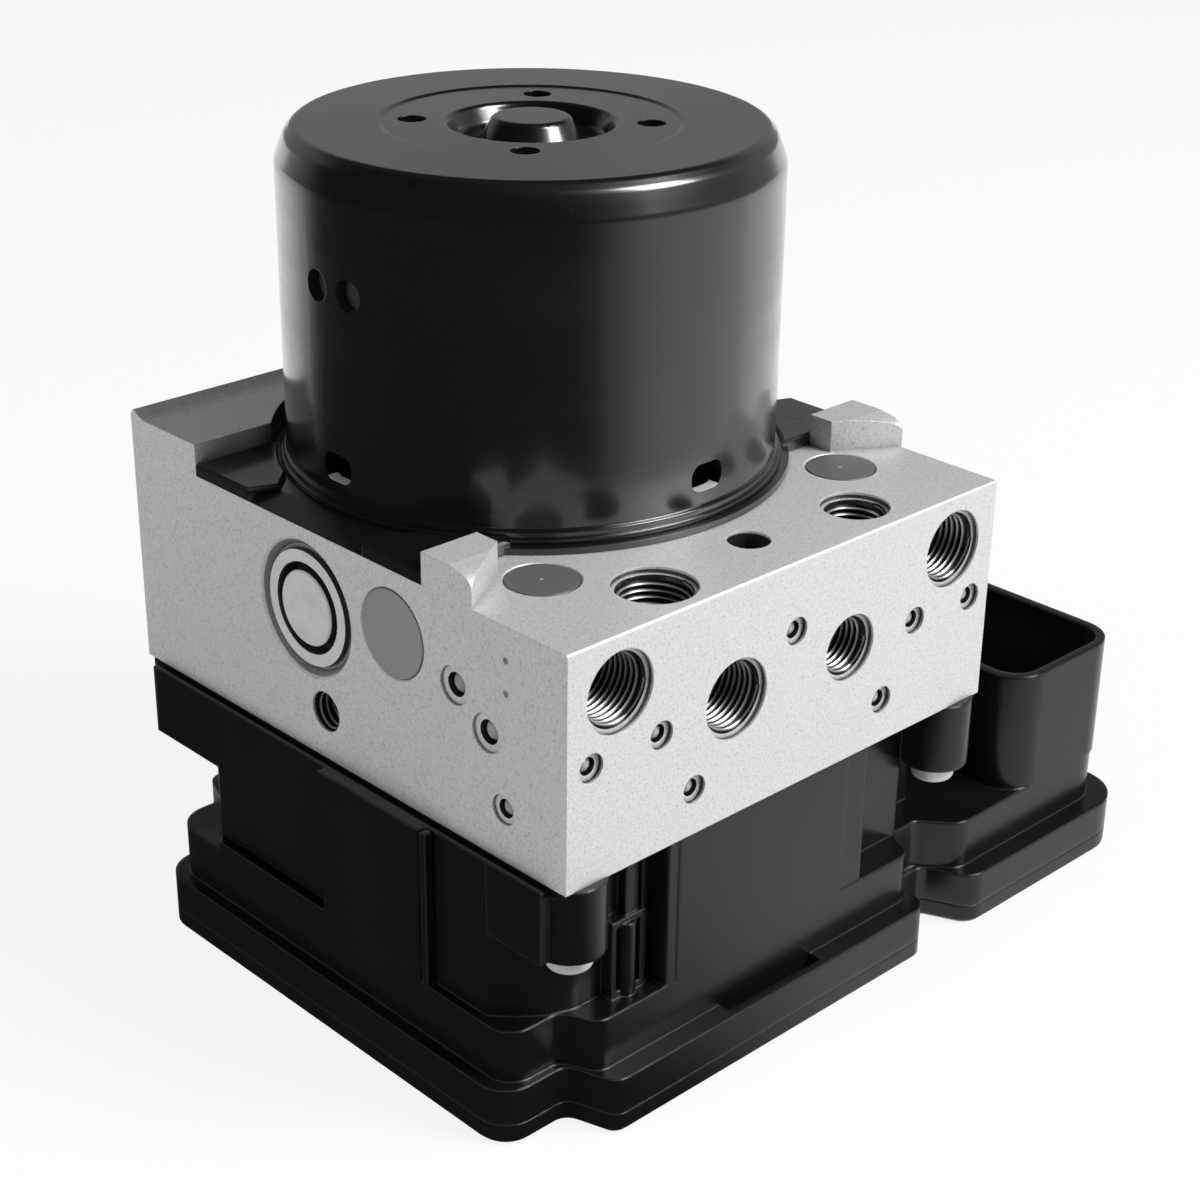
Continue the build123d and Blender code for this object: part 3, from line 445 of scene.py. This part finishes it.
def blasted_aluminium(colour):
    """Bead-blasted aluminium, with smooth machined walls in its holes that are darkened by painted shade, painted
    shade in its hollows and a painted highlight along its edges.
    """
    shop = Shop("blasted aluminium")
    grain = shop.noise(2300.0, detail=3.0, roughness=0.65)
    specks = shop.noise(2200.0, detail=1.5, roughness=0.55).ramp(0.56, 0.70)
    cloud = shop.noise(60.0)
    shaded_bore_wall = bored_wall(shop)
    tone = shop.blend(specks * 0.5, colour, toned(colour, 0.5))
    tone = shop.blend((cloud - 0.5) * 0.25 + 0.1, tone, grey(0.66))
    tone = shop.blend((grain - 0.42).clipped() * 0.9, tone, grey(0.30))
    # Painted highlight: a thin lighter line along the edges.
    tone = shop.blend(shop.edge_mask(0.0003) * 0.1, tone, grey(0.86))
    # Painted shade: the walls of the holes are darkened to near black.
    tone = shop.blend(shaded_bore_wall * 0.9, tone, grey(0.06))
    # Painted shade: holes, gaps and corners are darkened to near black.
    tone = shop.blend(shop.hollow_shade(0.006) * 0.9, tone, grey(0.02))
    shop.relief(grain, strength=0.5, distance=0.00013, round_edges=0.0002)
    level = (grain - 0.5) * 0.2 + 0.46 - shaded_bore_wall * 0.18
    return shop.set(Base_Color=tone, Metallic=shaded_bore_wall * 0.5 + 0.35, Roughness=level)


def dull_cap(name, colour, centres, radius, dent_depth):
    """Dull grey cap with a dark line round it and the dent that its press tool leaves in the middle."""
    shop = Shop(name)
    grain = shop.noise(2400.0, detail=3.0, roughness=0.65)
    left, right = (shop.far_from(centre) for centre in centres)
    reach = left.least(right)
    dent = (1.0 - reach.ramp(0.00018, 0.00045)) * dent_depth
    rim = reach.ramp(radius - 0.0003, radius - 0.00005)
    tone = shop.blend((grain - 0.45).clipped() * 0.9, colour, toned(colour, 1.4))
    tone = shop.blend(dent * 0.8, tone, grey(0.55))
    tone = shop.blend(rim * 0.8, tone, grey(0.02))
    shop.relief(grain * 0.25 - dent * 2.0, strength=0.35, distance=0.0002)
    return shop.set(Base_Color=tone, Metallic=0.25, Roughness=(grain - 0.5) * 0.2 + 0.5)


def turned_metal(name, colour, roughness, metallic, height):
    """Metal with the fine rings of the lathe about a line along X, at a height above the cover, and painted shade
    in its hollows.
    """
    shop = Shop(name)
    across = shop.axis("Y")
    above = shop.axis("Z") - height
    rings = ((across * across + above * above) ** 0.5 * 26000.0).sine() * 0.5 + 0.5
    smear = shop.noise(350.0)
    shop.relief(rings, strength=0.08, distance=0.00004, round_edges=0.00025)
    tone = shop.blend(smear.ramp(0.4, 0.8) * 0.3, colour, toned(colour, 0.6))
    # Painted shade: hollows of the plug are darkened to near black.
    tone = shop.blend(shop.hollow_shade(0.004, low=0.15, high=0.55) * 0.95, tone, grey(0.01))
    level = (smear - 0.5) * 0.15 + roughness
    return shop.set(Base_Color=tone, Metallic=metallic, Roughness=level)


def plain_metal(name, colour, roughness=0.35, metallic=0.9):
    """Metal with slight stains and fine scratches."""
    shop = Shop(name)
    stain = shop.noise(180.0, detail=3.0)
    scratches = shop.noise(2200.0)
    tone = shop.blend(stain.ramp(0.45, 0.75) * 0.35, colour, toned(colour, 0.55))
    shop.relief(scratches, strength=0.12, distance=0.00006, round_edges=0.0002)
    level = (stain - 0.5) * 0.2 + roughness
    return shop.set(Base_Color=tone, Metallic=metallic, Roughness=level)


def black_coat(name, colour, roughness, sill=None):
    """Thin black coat on pressed steel, with faint orange peel and dust, and a painted highlight on the sill of a
    cut window.
    """
    shop = Shop(name)
    peel = shop.noise(420.0)
    haze = shop.noise(45.0, detail=3.0, roughness=0.55, vector=shop.stretched((0.3, 0.3, 2.8)))
    dust = 1.0 - shop.cells(700.0).ramp(0.035, 0.06)
    tone = shop.blend(dust * 0.35, colour, grey(0.12))
    if sill is not None:
        # Painted highlight: upward faces at the window sill are made pale grey.
        upward = shop.part(shop.normal(), "Z") > 0.6
        near_sill = abs(shop.axis("Z") - sill) < SILL_HIGHLIGHT_REACH
        tone = shop.blend(upward * near_sill, tone, grey(0.75))
    grit = shop.noise(2400.0, roughness=0.6)
    shop.relief(peel + grit * 0.25, strength=0.06, distance=0.0001, round_edges=0.0003)
    level = haze.ramp(0.35, 0.7) * 0.14 + roughness
    shop.set(Base_Color=tone, Roughness=level, IOR=1.6)
    return shop.set(Coat_Weight=0.8, Coat_Roughness=0.14, Coat_IOR=1.6)


def moulded_plastic(name, colour, roughness, grain_scale=1900.0):
    """Black glass-filled plastic with a fine moulded grain and painted highlights along its edges."""
    shop = Shop(name)
    grain = shop.noise(grain_scale, detail=3.0, roughness=0.6)
    flow = shop.noise(38.0, detail=3.0, roughness=0.6, vector=shop.stretched((1.0, 1.0, 0.35)))
    edge_sheen = shop.edge_mask(0.0006)
    tone = shop.blend(flow.ramp(0.35, 0.75) * 0.5, colour, toned(colour, 1.8))
    # Painted highlight: the edges are made lighter grey, and smoother.
    tone = shop.blend(edge_sheen * 0.45, tone, grey(0.09))
    shop.relief(grain, strength=0.14, distance=0.00008, round_edges=0.0009)
    level = (flow - 0.5) * 0.12 + roughness - edge_sheen * 0.06
    return shop.set(Base_Color=tone, Roughness=level)


def soft_rubber(name, colour):
    """Matte sealing rubber."""
    shop = Shop(name)
    grain = shop.noise(1500.0, detail=3.0)
    tone = shop.blend(grain * 0.4, colour, toned(colour, 1.6))
    shop.relief(grain, strength=0.2, distance=0.0001)
    return shop.set(Base_Color=tone, Roughness=0.75)


def copper_wire(name):
    """Enamelled copper with the lines of its turns."""
    shop = Shop(name)
    turns = (shop.axis("Z") * 9000.0).sine() * 0.5 + 0.5
    stain = shop.noise(200.0, detail=3.0)
    tone = shop.blend(turns * 0.6, (0.62, 0.27, 0.11), (0.30, 0.11, 0.04))
    tone = shop.blend(stain.ramp(0.4, 0.8) * 0.3, tone, (0.75, 0.40, 0.20))
    shop.relief(turns, strength=0.5, distance=0.0002)
    return shop.set(Base_Color=tone, Metallic=0.7, Roughness=stain * 0.1 + 0.35)


def green_board(name):
    """Circuit board lacquer with faint tracks under it."""
    shop = Shop(name)
    inputs = {
        "Vector": shop.place,
        "Scale": 300.0,
        "Color1": (0.02, 0.10, 0.05),
        "Color2": (0.03, 0.14, 0.06),
        "Mortar": (0.05, 0.20, 0.09),
        "Mortar Size": 0.04,
    }
    tracks = shop.node("ShaderNodeTexBrick", inputs, output="Color")
    grain = shop.noise(900.0)
    shop.relief(grain, strength=0.1, distance=0.00005)
    return shop.set(Base_Color=tracks, Roughness=grain * 0.1 + 0.35)


def cut_thread(colour):
    """Fresh-cut aluminium: bright along the thread's crest, with painted shade that darkens it to black towards
    its root.
    """
    shop = Shop("cut thread")
    grain = shop.noise(3000.0)
    crest = shop.node("ShaderNodeAttribute", output="Fac", attribute_name="crest")
    # Painted shade: the thread's root is made near black.
    tone = shop.blend(crest.ramp(0.4, 0.95), grey(0.008), colour)
    shop.relief(grain, strength=0.15, distance=0.00005)
    return shop.set(Base_Color=tone, Metallic=0.7, Roughness=grain * 0.1 + 0.28)


def paint(material, *names):
    """Gives CAD nodes one finish."""
    for name in names:
        slots = frame["nodes"][name].data.materials
        slots.clear()
        slots.append(material)


def both_sides(name):
    """The names of a pair of nodes, left and right."""
    return (f"{name}_left", f"{name}_right")


def middle(name):
    """Middle of a CAD node's box."""
    low, high = (Vector(corner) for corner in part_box(name))
    return (low + high) / 2


# Mesh work


def fresh():
    """Nothing selected, object mode."""
    if bpy.context.object and bpy.context.object.mode != "OBJECT":
        bpy.ops.object.mode_set(mode="OBJECT")
    bpy.ops.object.select_all(action="DESELECT")


def pick(*pieces):
    """Only these pieces selected, the first one active."""
    fresh()
    for piece in pieces:
        piece.select_set(True)
    bpy.context.view_layer.objects.active = pieces[0]


def settle(piece):
    """Puts a piece's place into its mesh, so its object sits at the origin."""
    pick(piece)
    bpy.ops.object.transform_apply(location=True, rotation=True, scale=True)


def take(test):
    """In edit mode, selects the vertices that pass a test."""
    bpy.ops.mesh.select_mode(type="VERT")
    bpy.ops.mesh.select_all(action="DESELECT")
    mesh = bpy.context.object.data
    work = bmesh.from_edit_mesh(mesh)
    for vertex in work.verts:
        if test(vertex):
            vertex.select_set(True)
    work.select_flush_mode()
    bmesh.update_edit_mesh(mesh)


def use_modifier(piece, name, kind, **settings):
    """Adds a modifier and applies it."""
    bpy.context.view_layer.objects.active = piece
    modifier = piece.modifiers.new(name, kind)
    for key, value in settings.items():
        setattr(modifier, key, value)
    bpy.ops.object.modifier_apply(modifier=name)


def join(pieces, name):
    """One object out of several."""
    pick(*pieces)
    bpy.ops.object.join()
    whole = bpy.context.object
    whole.name = name
    whole.data.name = name
    return whole


def finish_piece(piece, material, body):
    """Merges a new piece's doubles, turns it outwards, smooths it, and gives it its finish and body."""
    pick(piece)
    bpy.ops.object.mode_set(mode="EDIT")
    bpy.ops.mesh.select_all(action="SELECT")
    bpy.ops.mesh.remove_doubles(threshold=0.000005)
    bpy.ops.mesh.normals_make_consistent(inside=False)
    bpy.ops.object.mode_set(mode="OBJECT")
    pick(piece)
    bpy.ops.object.shade_smooth_by_angle(angle=CREASE)
    piece.data.materials.clear()
    piece.data.materials.append(material)
    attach(piece, body)


def thread_ridge(radius, height, pitch, length, steps):
    """A right-hand thread ridge standing in from a bore round Z, down from z = 0."""
    turns = length / pitch
    all_steps = int(steps * turns)
    fresh()
    bpy.ops.mesh.primitive_circle_add(
        vertices=4, radius=height, location=(radius, 0.0, 0.0), rotation=(math.pi / 2, 0.0, 0.0)
    )
    ridge = bpy.context.object
    settle(ridge)
    bpy.ops.object.mode_set(mode="EDIT")
    take(lambda corner: corner.co.x > radius + 0.5 * height)
    bpy.ops.transform.translate(value=(-DRAWN_IN * height, 0.0, 0.0))
    take(lambda corner: abs(corner.co.z) > 0.5 * height)
    bpy.ops.transform.resize(value=(1.0, 1.0, HALF_FOOT * pitch / height))
    bpy.ops.object.mode_set(mode="OBJECT")
    use_modifier(
        ridge,
        "Screw",
        "SCREW",
        angle=-2 * math.pi * turns,
        screw_offset=-length,
        steps=all_steps,
        render_steps=all_steps,
        use_merge_vertices=False,
        use_smooth_shade=False,
    )
    # The crest value, 0 at the bore and 1 at the crest, later sets the painted shade in the thread's root.
    crest = ridge.data.attributes.new("crest", "FLOAT", "POINT")
    for vertex, mark in zip(ridge.data.vertices, crest.data):
        turn = (math.atan2(-vertex.co.y, vertex.co.x) / (2 * math.pi)) % 1.0
        turn += round(-vertex.co.z / pitch - turn)
        rise = radius - vertex.co.xy.length
        mark.value = rise / height
        if rise > 0 and turn < RUN_IN:
            vertex.co.xy *= (radius - rise * turn / RUN_IN) / vertex.co.xy.length
    return ridge


# Operators


class BRAKE_OT_stage(bpy.types.Operator):
    """Pale floor, soft lamps and the camera"""

    bl_idname = "brake.stage"
    bl_label = "Stage"
    ambient = 0.22
    floor_radius = 6.0
    floor_level = -0.0001
    lamp_target = Vector((0.0, 0.0, 0.06))

    def execute(self, context):
        self.camera(context.scene)
        self.floor()
        self.sky(context.scene)
        self.lamp("key", Vector((0.50, -1.00, 1.10)), size=0.7, power=24.0)
        fill = self.lamp("left fill", Vector((-1.40, 0.25, 0.45)), size=0.9, power=8.5)
        fill.visible_glossy = False
        context.scene.view_settings.view_transform = "Standard"
        return {"FINISHED"}

    def camera(self, scene):
        """The camera, turned by its azimuth and elevation and then rolled."""
        settings = scene.brake_camera
        azimuth = math.radians(settings.azimuth)
        elevation = math.radians(settings.elevation)
        roll = math.radians(settings.roll)
        flat = Vector((math.sin(azimuth), -math.cos(azimuth), 0.0))
        back = flat * math.cos(elevation) + Vector((0.0, 0.0, math.sin(elevation)))
        right = Vector((0.0, 0.0, 1.0)).cross(back).normalized()
        up = back.cross(right)
        rolled_right = math.cos(roll) * right + math.sin(roll) * up
        rolled_up = math.cos(roll) * up - math.sin(roll) * right
        fresh()
        bpy.ops.object.camera_add()
        camera = bpy.context.object
        camera.name = "camera"
        turn = Matrix((rolled_right, rolled_up, back)).transposed().to_4x4()
        camera.matrix_world = Matrix.Translation(settings.position) @ turn
        camera.data.lens = settings.lens
        camera.data.sensor_width = settings.sensor
        camera.data.clip_start = 0.01
        scene.camera = camera

    def floor(self):
        """A wide round floor just under the unit."""
        fresh()
        bpy.ops.mesh.primitive_circle_add(vertices=96, radius=self.floor_radius, fill_type="NGON")
        floor = bpy.context.object
        floor.name = "floor"
        floor.location.z = self.floor_level
        floor.data.materials.append(self.floor_paint())

    def floor_paint(self):
        """White to the camera and as the studio to reflections, with the soft shadow kept."""
        shop = Shop("pale floor")
        shop.set(Base_Color=grey(0.9), Roughness=0.9)
        seen = shop.node("ShaderNodeLightPath", output="Is Camera Ray")
        mirrored = shop.node("ShaderNodeLightPath", output="Is Glossy Ray")
        through = shop.node("ShaderNodeLightPath", output="Is Transmission Ray")
        level = studio_level(shop.axis("X"), shop.axis("Y"))
        glow = shop.node("ShaderNodeEmission", {"Color": shop.blend(mirrored, grey(1.0), level)})
        weight = ((seen + through) * 0.86 + mirrored).clipped()
        shop.feed(shop.output.inputs[0], shop.mixed(weight, Wire(shop, shop.shader.outputs[0]), glow))
        return shop.material

    def sky(self, scene):
        """White to the camera, as the studio to reflections, and soft grey light for the rest."""
        scene.world = bpy.data.worlds.new("studio")
        scene.world.use_nodes = True
        bench = Bench(scene.world.node_tree, "ShaderNodeOutputWorld")
        seen = bench.node("ShaderNodeLightPath", output="Is Camera Ray")
        mirrored = bench.node("ShaderNodeLightPath", output="Is Glossy Ray")
        towards = bench.node("ShaderNodeTexCoord", output="Generated")
        x, y, z = (bench.part(towards, letter) for letter in "XYZ")
        level = studio_level(x, y) * (0.27 - z.ramp(0.42, 0.62) * 0.25)
        tone = bench.blend(mirrored, grey(self.ambient), level)
        light = bench.node("ShaderNodeBackground", {"Color": bench.blend(seen, tone, grey(1.0))})
        bench.feed(bench.output.inputs[0], light)

    def lamp(self, name, place, size, power):
        """A square soft lamp that looks at the unit."""
        fresh()
        bpy.ops.object.light_add(type="AREA", location=place)
        lamp = bpy.context.object
        lamp.name = name
        lamp.data.size = size
        lamp.data.energy = power
        lamp.rotation_euler = (self.lamp_target - place).to_track_quat("-Z", "Y").to_euler()
        return lamp


class BRAKE_OT_block_finish(bpy.types.Operator):
    """Finishes of the block and of what is pressed into it"""

    bl_idname = "brake.block_finish"
    bl_label = "Block finish"
    side_cap_radius = 0.00735
    top_cap_radius = 0.00585

    def execute(self, context):
        settings = context.scene.brake_block
        paint(blasted_aluminium(tuple(settings.metal)), "hydraulic_block")
        paint(self.side_cap_metal(tuple(settings.side_cap_metal)), *both_sides("side_channel_cap"))
        paint(self.top_cap_metal(tuple(settings.top_cap_metal)), "top_channel_caps")
        balls = plain_metal("ball steel", tuple(settings.plug_metal), roughness=0.28, metallic=0.5)
        paint(balls, "port_face_ball_plugs", "side_face_ball_plugs")
        pump_height = middle("pump_plug_left").z
        pump = turned_metal("pump plug metal", grey(0.76), 0.40, 0.3, pump_height)
        paint(pump, *both_sides("pump_plug"))
        rear = plain_metal("accumulator cap metal", grey(0.33), roughness=0.4)
        paint(rear, *both_sides("accumulator_cap"))
        return {"FINISHED"}

    def side_cap_metal(self, colour):
        """Metal of the caps in the side faces, which are pressed flat."""
        centre = middle("side_channel_cap_left")
        centres = [(x, centre.y, centre.z) for x in (-HALF_BLOCK, HALF_BLOCK)]
        return dull_cap("side cap metal", colour, centres, self.side_cap_radius, dent_depth=0.0)

    def top_cap_metal(self, colour):
        """Metal of the caps in the top, which have a small dent."""
        centre = middle("top_channel_caps")
        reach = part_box("top_channel_caps")[1][0] - self.top_cap_radius
        centres = [(x, centre.y, BLOCK_TOP) for x in (-reach, reach)]
        return dull_cap("top cap metal", colour, centres, self.top_cap_radius, dent_depth=1.0)


class BRAKE_OT_motor_finish(bpy.types.Operator):
    """Finishes of the motor can and its flange"""

    bl_idname = "brake.motor_finish"
    bl_label = "Motor finish"

    def execute(self, context):
        settings = context.scene.brake_motor
        colour = tuple(settings.paint)
        paint(black_coat("can coat", colour, settings.roughness, WINDOW_SILL), "motor_can")
        paint(black_coat("flange coat", colour, settings.roughness + 0.08), "motor_flange_plate")
        paint(black_coat("screw coat", colour, settings.roughness + 0.1), "flange_screws")
        return {"FINISHED"}


class BRAKE_OT_housing_finish(bpy.types.Operator):
    """Finishes of the control housing, its cover, pins and bolts"""

    bl_idname = "brake.housing_finish"
    bl_label = "Housing finish"

    def execute(self, context):
        settings = context.scene.brake_housing
        colour = tuple(settings.plastic)
        cover_roughness = settings.roughness + 0.04
        paint(moulded_plastic("housing plastic", colour, settings.roughness), "control_housing")
        paint(moulded_plastic("cover plastic", colour, cover_roughness, 1500.0), "control_cover")
        paint(plain_metal("bolt zinc", grey(0.80), roughness=0.38, metallic=0.45), "housing_bolts")
        paint(plain_metal("pin tin", (0.62, 0.60, 0.52), roughness=0.28), "connector_pins")
        paint(plain_metal("terminal tin", (0.60, 0.58, 0.50), roughness=0.3), "motor_terminals")
        for name in ("housing_gasket", "cover_seal"):
            paint(soft_rubber(name + " rubber", grey(0.02)), name)
        return {"FINISHED"}


class BRAKE_OT_inner_finish(bpy.types.Operator):
    """Finishes of the pieces inside the block, the motor and the housing"""

    bl_idname = "brake.inner_finish"
    bl_label = "Inner pieces finish"

    def execute(self, context):
        ground = plain_metal("ground steel", grey(0.5), roughness=0.25)
        paint(ground, *both_sides("pump_sleeve"), *both_sides("pump_piston"))
        paint(ground, "upper_bearing", "lower_bearing", "motor_shaft", "eccentric_bearing")
        paint(ground, "inlet_valves", "outlet_valves", "changeover_valves", "pressure_sensor")
        paint(plain_metal("brush spring steel", grey(0.38), roughness=0.3), "brush_springs")
        cast = plain_metal("cast piston metal", grey(0.45), roughness=0.45)
        paint(cast, *both_sides("accumulator_piston"))
        paint(plain_metal("ferrite", grey(0.05), roughness=0.6, metallic=0.2), "motor_magnets")
        paint(plain_metal("stacked iron", grey(0.22), roughness=0.5), "armature_core")
        paint(copper_wire("wound copper"), "armature_windings", "solenoid_coils")
        paint(plain_metal("commutator copper", (0.65, 0.33, 0.16), roughness=0.3), "commutator")
        paint(moulded_plastic("brush holder plastic", grey(0.06), 0.5), "brush_holder")
        paint(soft_rubber("brush carbon", grey(0.025)), "carbon_brushes")
        paint(green_board("board lacquer"), "circuit_board")
        chips = moulded_plastic("chip body", grey(0.02), 0.45)
        paint(chips, "processor_chip", "driver_chips", "board_capacitors")
        return {"FINISHED"}


class BRAKE_OT_port_threads(bpy.types.Operator):
    """Cut threads of the six brake line ports and the two side bracket holes"""

    bl_idname = "brake.port_threads"
    bl_label = "Threads"
    plain_hole = "bracket_hole_top"
    port_run_on = 0.0004
    bracket_run_on = -0.001
    bracket_lead_share = 0.3
    tallest_share = 0.14
    faces = {
        (0, -1, 0): PORT_FACE,
        (0, 0, 1): BLOCK_TOP,
        (-1, 0, 0): -HALF_BLOCK,
        (1, 0, 0): HALF_BLOCK,
    }

    def execute(self, context):
        settings = context.scene.brake_block
        ridges = []
        for hole in frame["record"]["mounts"]:
            if hole["kind"] == "threaded_hole" and hole["name"] != self.plain_hole:
                ridges.append(self.ridge(hole, settings))
        threads = join(ridges, "port_threads")
        finish_piece(threads, cut_thread(grey(0.62)), "unit")
        return {"FINISHED"}

    def ridge(self, hole, settings):
        """The thread of one hole, from a little inside its mouth to near its end."""
        radius = hole["dims"]["r_mm"] / 1000
        depth = hole["dims"]["length_mm"] / 1000
        if hole["name"].startswith("bracket"):
            pitch = settings.bracket_pitch
            depth += self.bracket_run_on
            lead = settings.thread_lead * self.bracket_lead_share
        else:
            pitch = settings.thread_pitch
            depth += self.port_run_on
            lead = settings.thread_lead
        height = min(settings.thread_height, self.tallest_share * radius)
        ridge = thread_ridge(radius, height, pitch, depth - lead, settings.thread_steps)
        start = Matrix.Translation((0.0, 0.0, -lead))
        ridge.data.transform(self.mouth(hole) @ start)
        return ridge

    def mouth(self, hole):
        """Matrix that puts Z on the hole's axis and the origin on the face that it opens in."""
        axis = tuple(hole["axis"])
        place = [self.faces[axis] if turned else at for at, turned in zip(hole["pos_m"], axis)]
        turn = Vector((0.0, 0.0, 1.0)).rotation_difference(Vector(axis)).to_matrix().to_4x4()
        return Matrix.Translation(place) @ turn


class BRAKE_OT_springs(bpy.types.Operator):
    """Pump and accumulator springs, copied from the CAD's springs with a spring steel finish"""

    bl_idname = "brake.springs"
    bl_label = "Springs"

    def execute(self, context):
        wire = plain_metal("spring steel", grey(0.38), roughness=0.3)
        strokes = {joint["name"]: joint for joint in frame["joints"]}
        for side in ("left", "right"):
            for group in ("pump", "accumulator"):
                self.coil(f"{group}_coil_{side}", strokes[f"{group}_stroke_{side}"], wire)
        return {"FINISHED"}

    def coil(self, name, stroke, wire):
        """One spring, copied from its CAD node, which is hidden; its seat and the share of its length kept at full
        stroke are worked out but not used.
        """
        deforming = stroke["deforming_nodes"][0]
        node = deforming["node"]
        letter = deforming["mode"][-1]
        along = "xyz".index(letter)
        axis = tuple(int(place == along) for place in range(3))
        seat = [round(at, 5) for at in middle(node)]
        seat[along] = deforming[f"fixed_end_{letter}_m"]
        free_length = max(abs(corner[along] - seat[along]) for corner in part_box(node))
        keep = round(1.0 - stroke["range_m"][1] / free_length, 3)
        spring = bpy.data.objects.new(name, frame["nodes"][node].data.copy())
        bpy.context.collection.objects.link(spring)
        finish_piece(spring, wire, "unit")
        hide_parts(node)
        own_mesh(spring)


class BRAKE_PT_panel(bpy.types.Panel):
    """Lists the steps of dressing the unit"""

    bl_label = "Brake unit"
    bl_space_type = "VIEW_3D"
    bl_region_type = "UI"
    bl_category = "Brake unit"

    def draw(self, context):
        layout = self.layout
        for step in STEPS:
            layout.operator(step.bl_idname)
        for name in GROUPS:
            settings = getattr(context.scene, name)
            box = layout.box()
            for key in settings.__annotations__:
                box.prop(settings, key)


STEPS = (
    BRAKE_OT_stage,
    BRAKE_OT_block_finish,
    BRAKE_OT_motor_finish,
    BRAKE_OT_housing_finish,
    BRAKE_OT_inner_finish,
    BRAKE_OT_port_threads,
    BRAKE_OT_springs,
)
GROUPS = {
    "brake_camera": CameraSettings,
    "brake_block": BlockSettings,
    "brake_motor": MotorSettings,
    "brake_housing": HousingSettings,
}


def register():
    """Registers the settings, the steps and the panel."""
    for name, group in GROUPS.items():
        bpy.utils.register_class(group)
        setattr(bpy.types.Scene, name, PointerProperty(type=group))
    for step in STEPS:
        bpy.utils.register_class(step)
    bpy.utils.register_class(BRAKE_PT_panel)


def unregister():
    """Takes back what register added."""
    bpy.utils.unregister_class(BRAKE_PT_panel)
    for step in reversed(STEPS):
        bpy.utils.unregister_class(step)
    for name, group in reversed(GROUPS.items()):
        delattr(bpy.types.Scene, name)
        bpy.utils.unregister_class(group)


def main():
    """Dresses the unit step by step."""
    register()
    bpy.ops.brake.stage()
    bpy.ops.brake.block_finish()
    bpy.ops.brake.motor_finish()
    bpy.ops.brake.housing_finish()
    bpy.ops.brake.inner_finish()
    bpy.ops.brake.port_threads()
    bpy.ops.brake.springs()


if __name__ == "__main__":
    main()
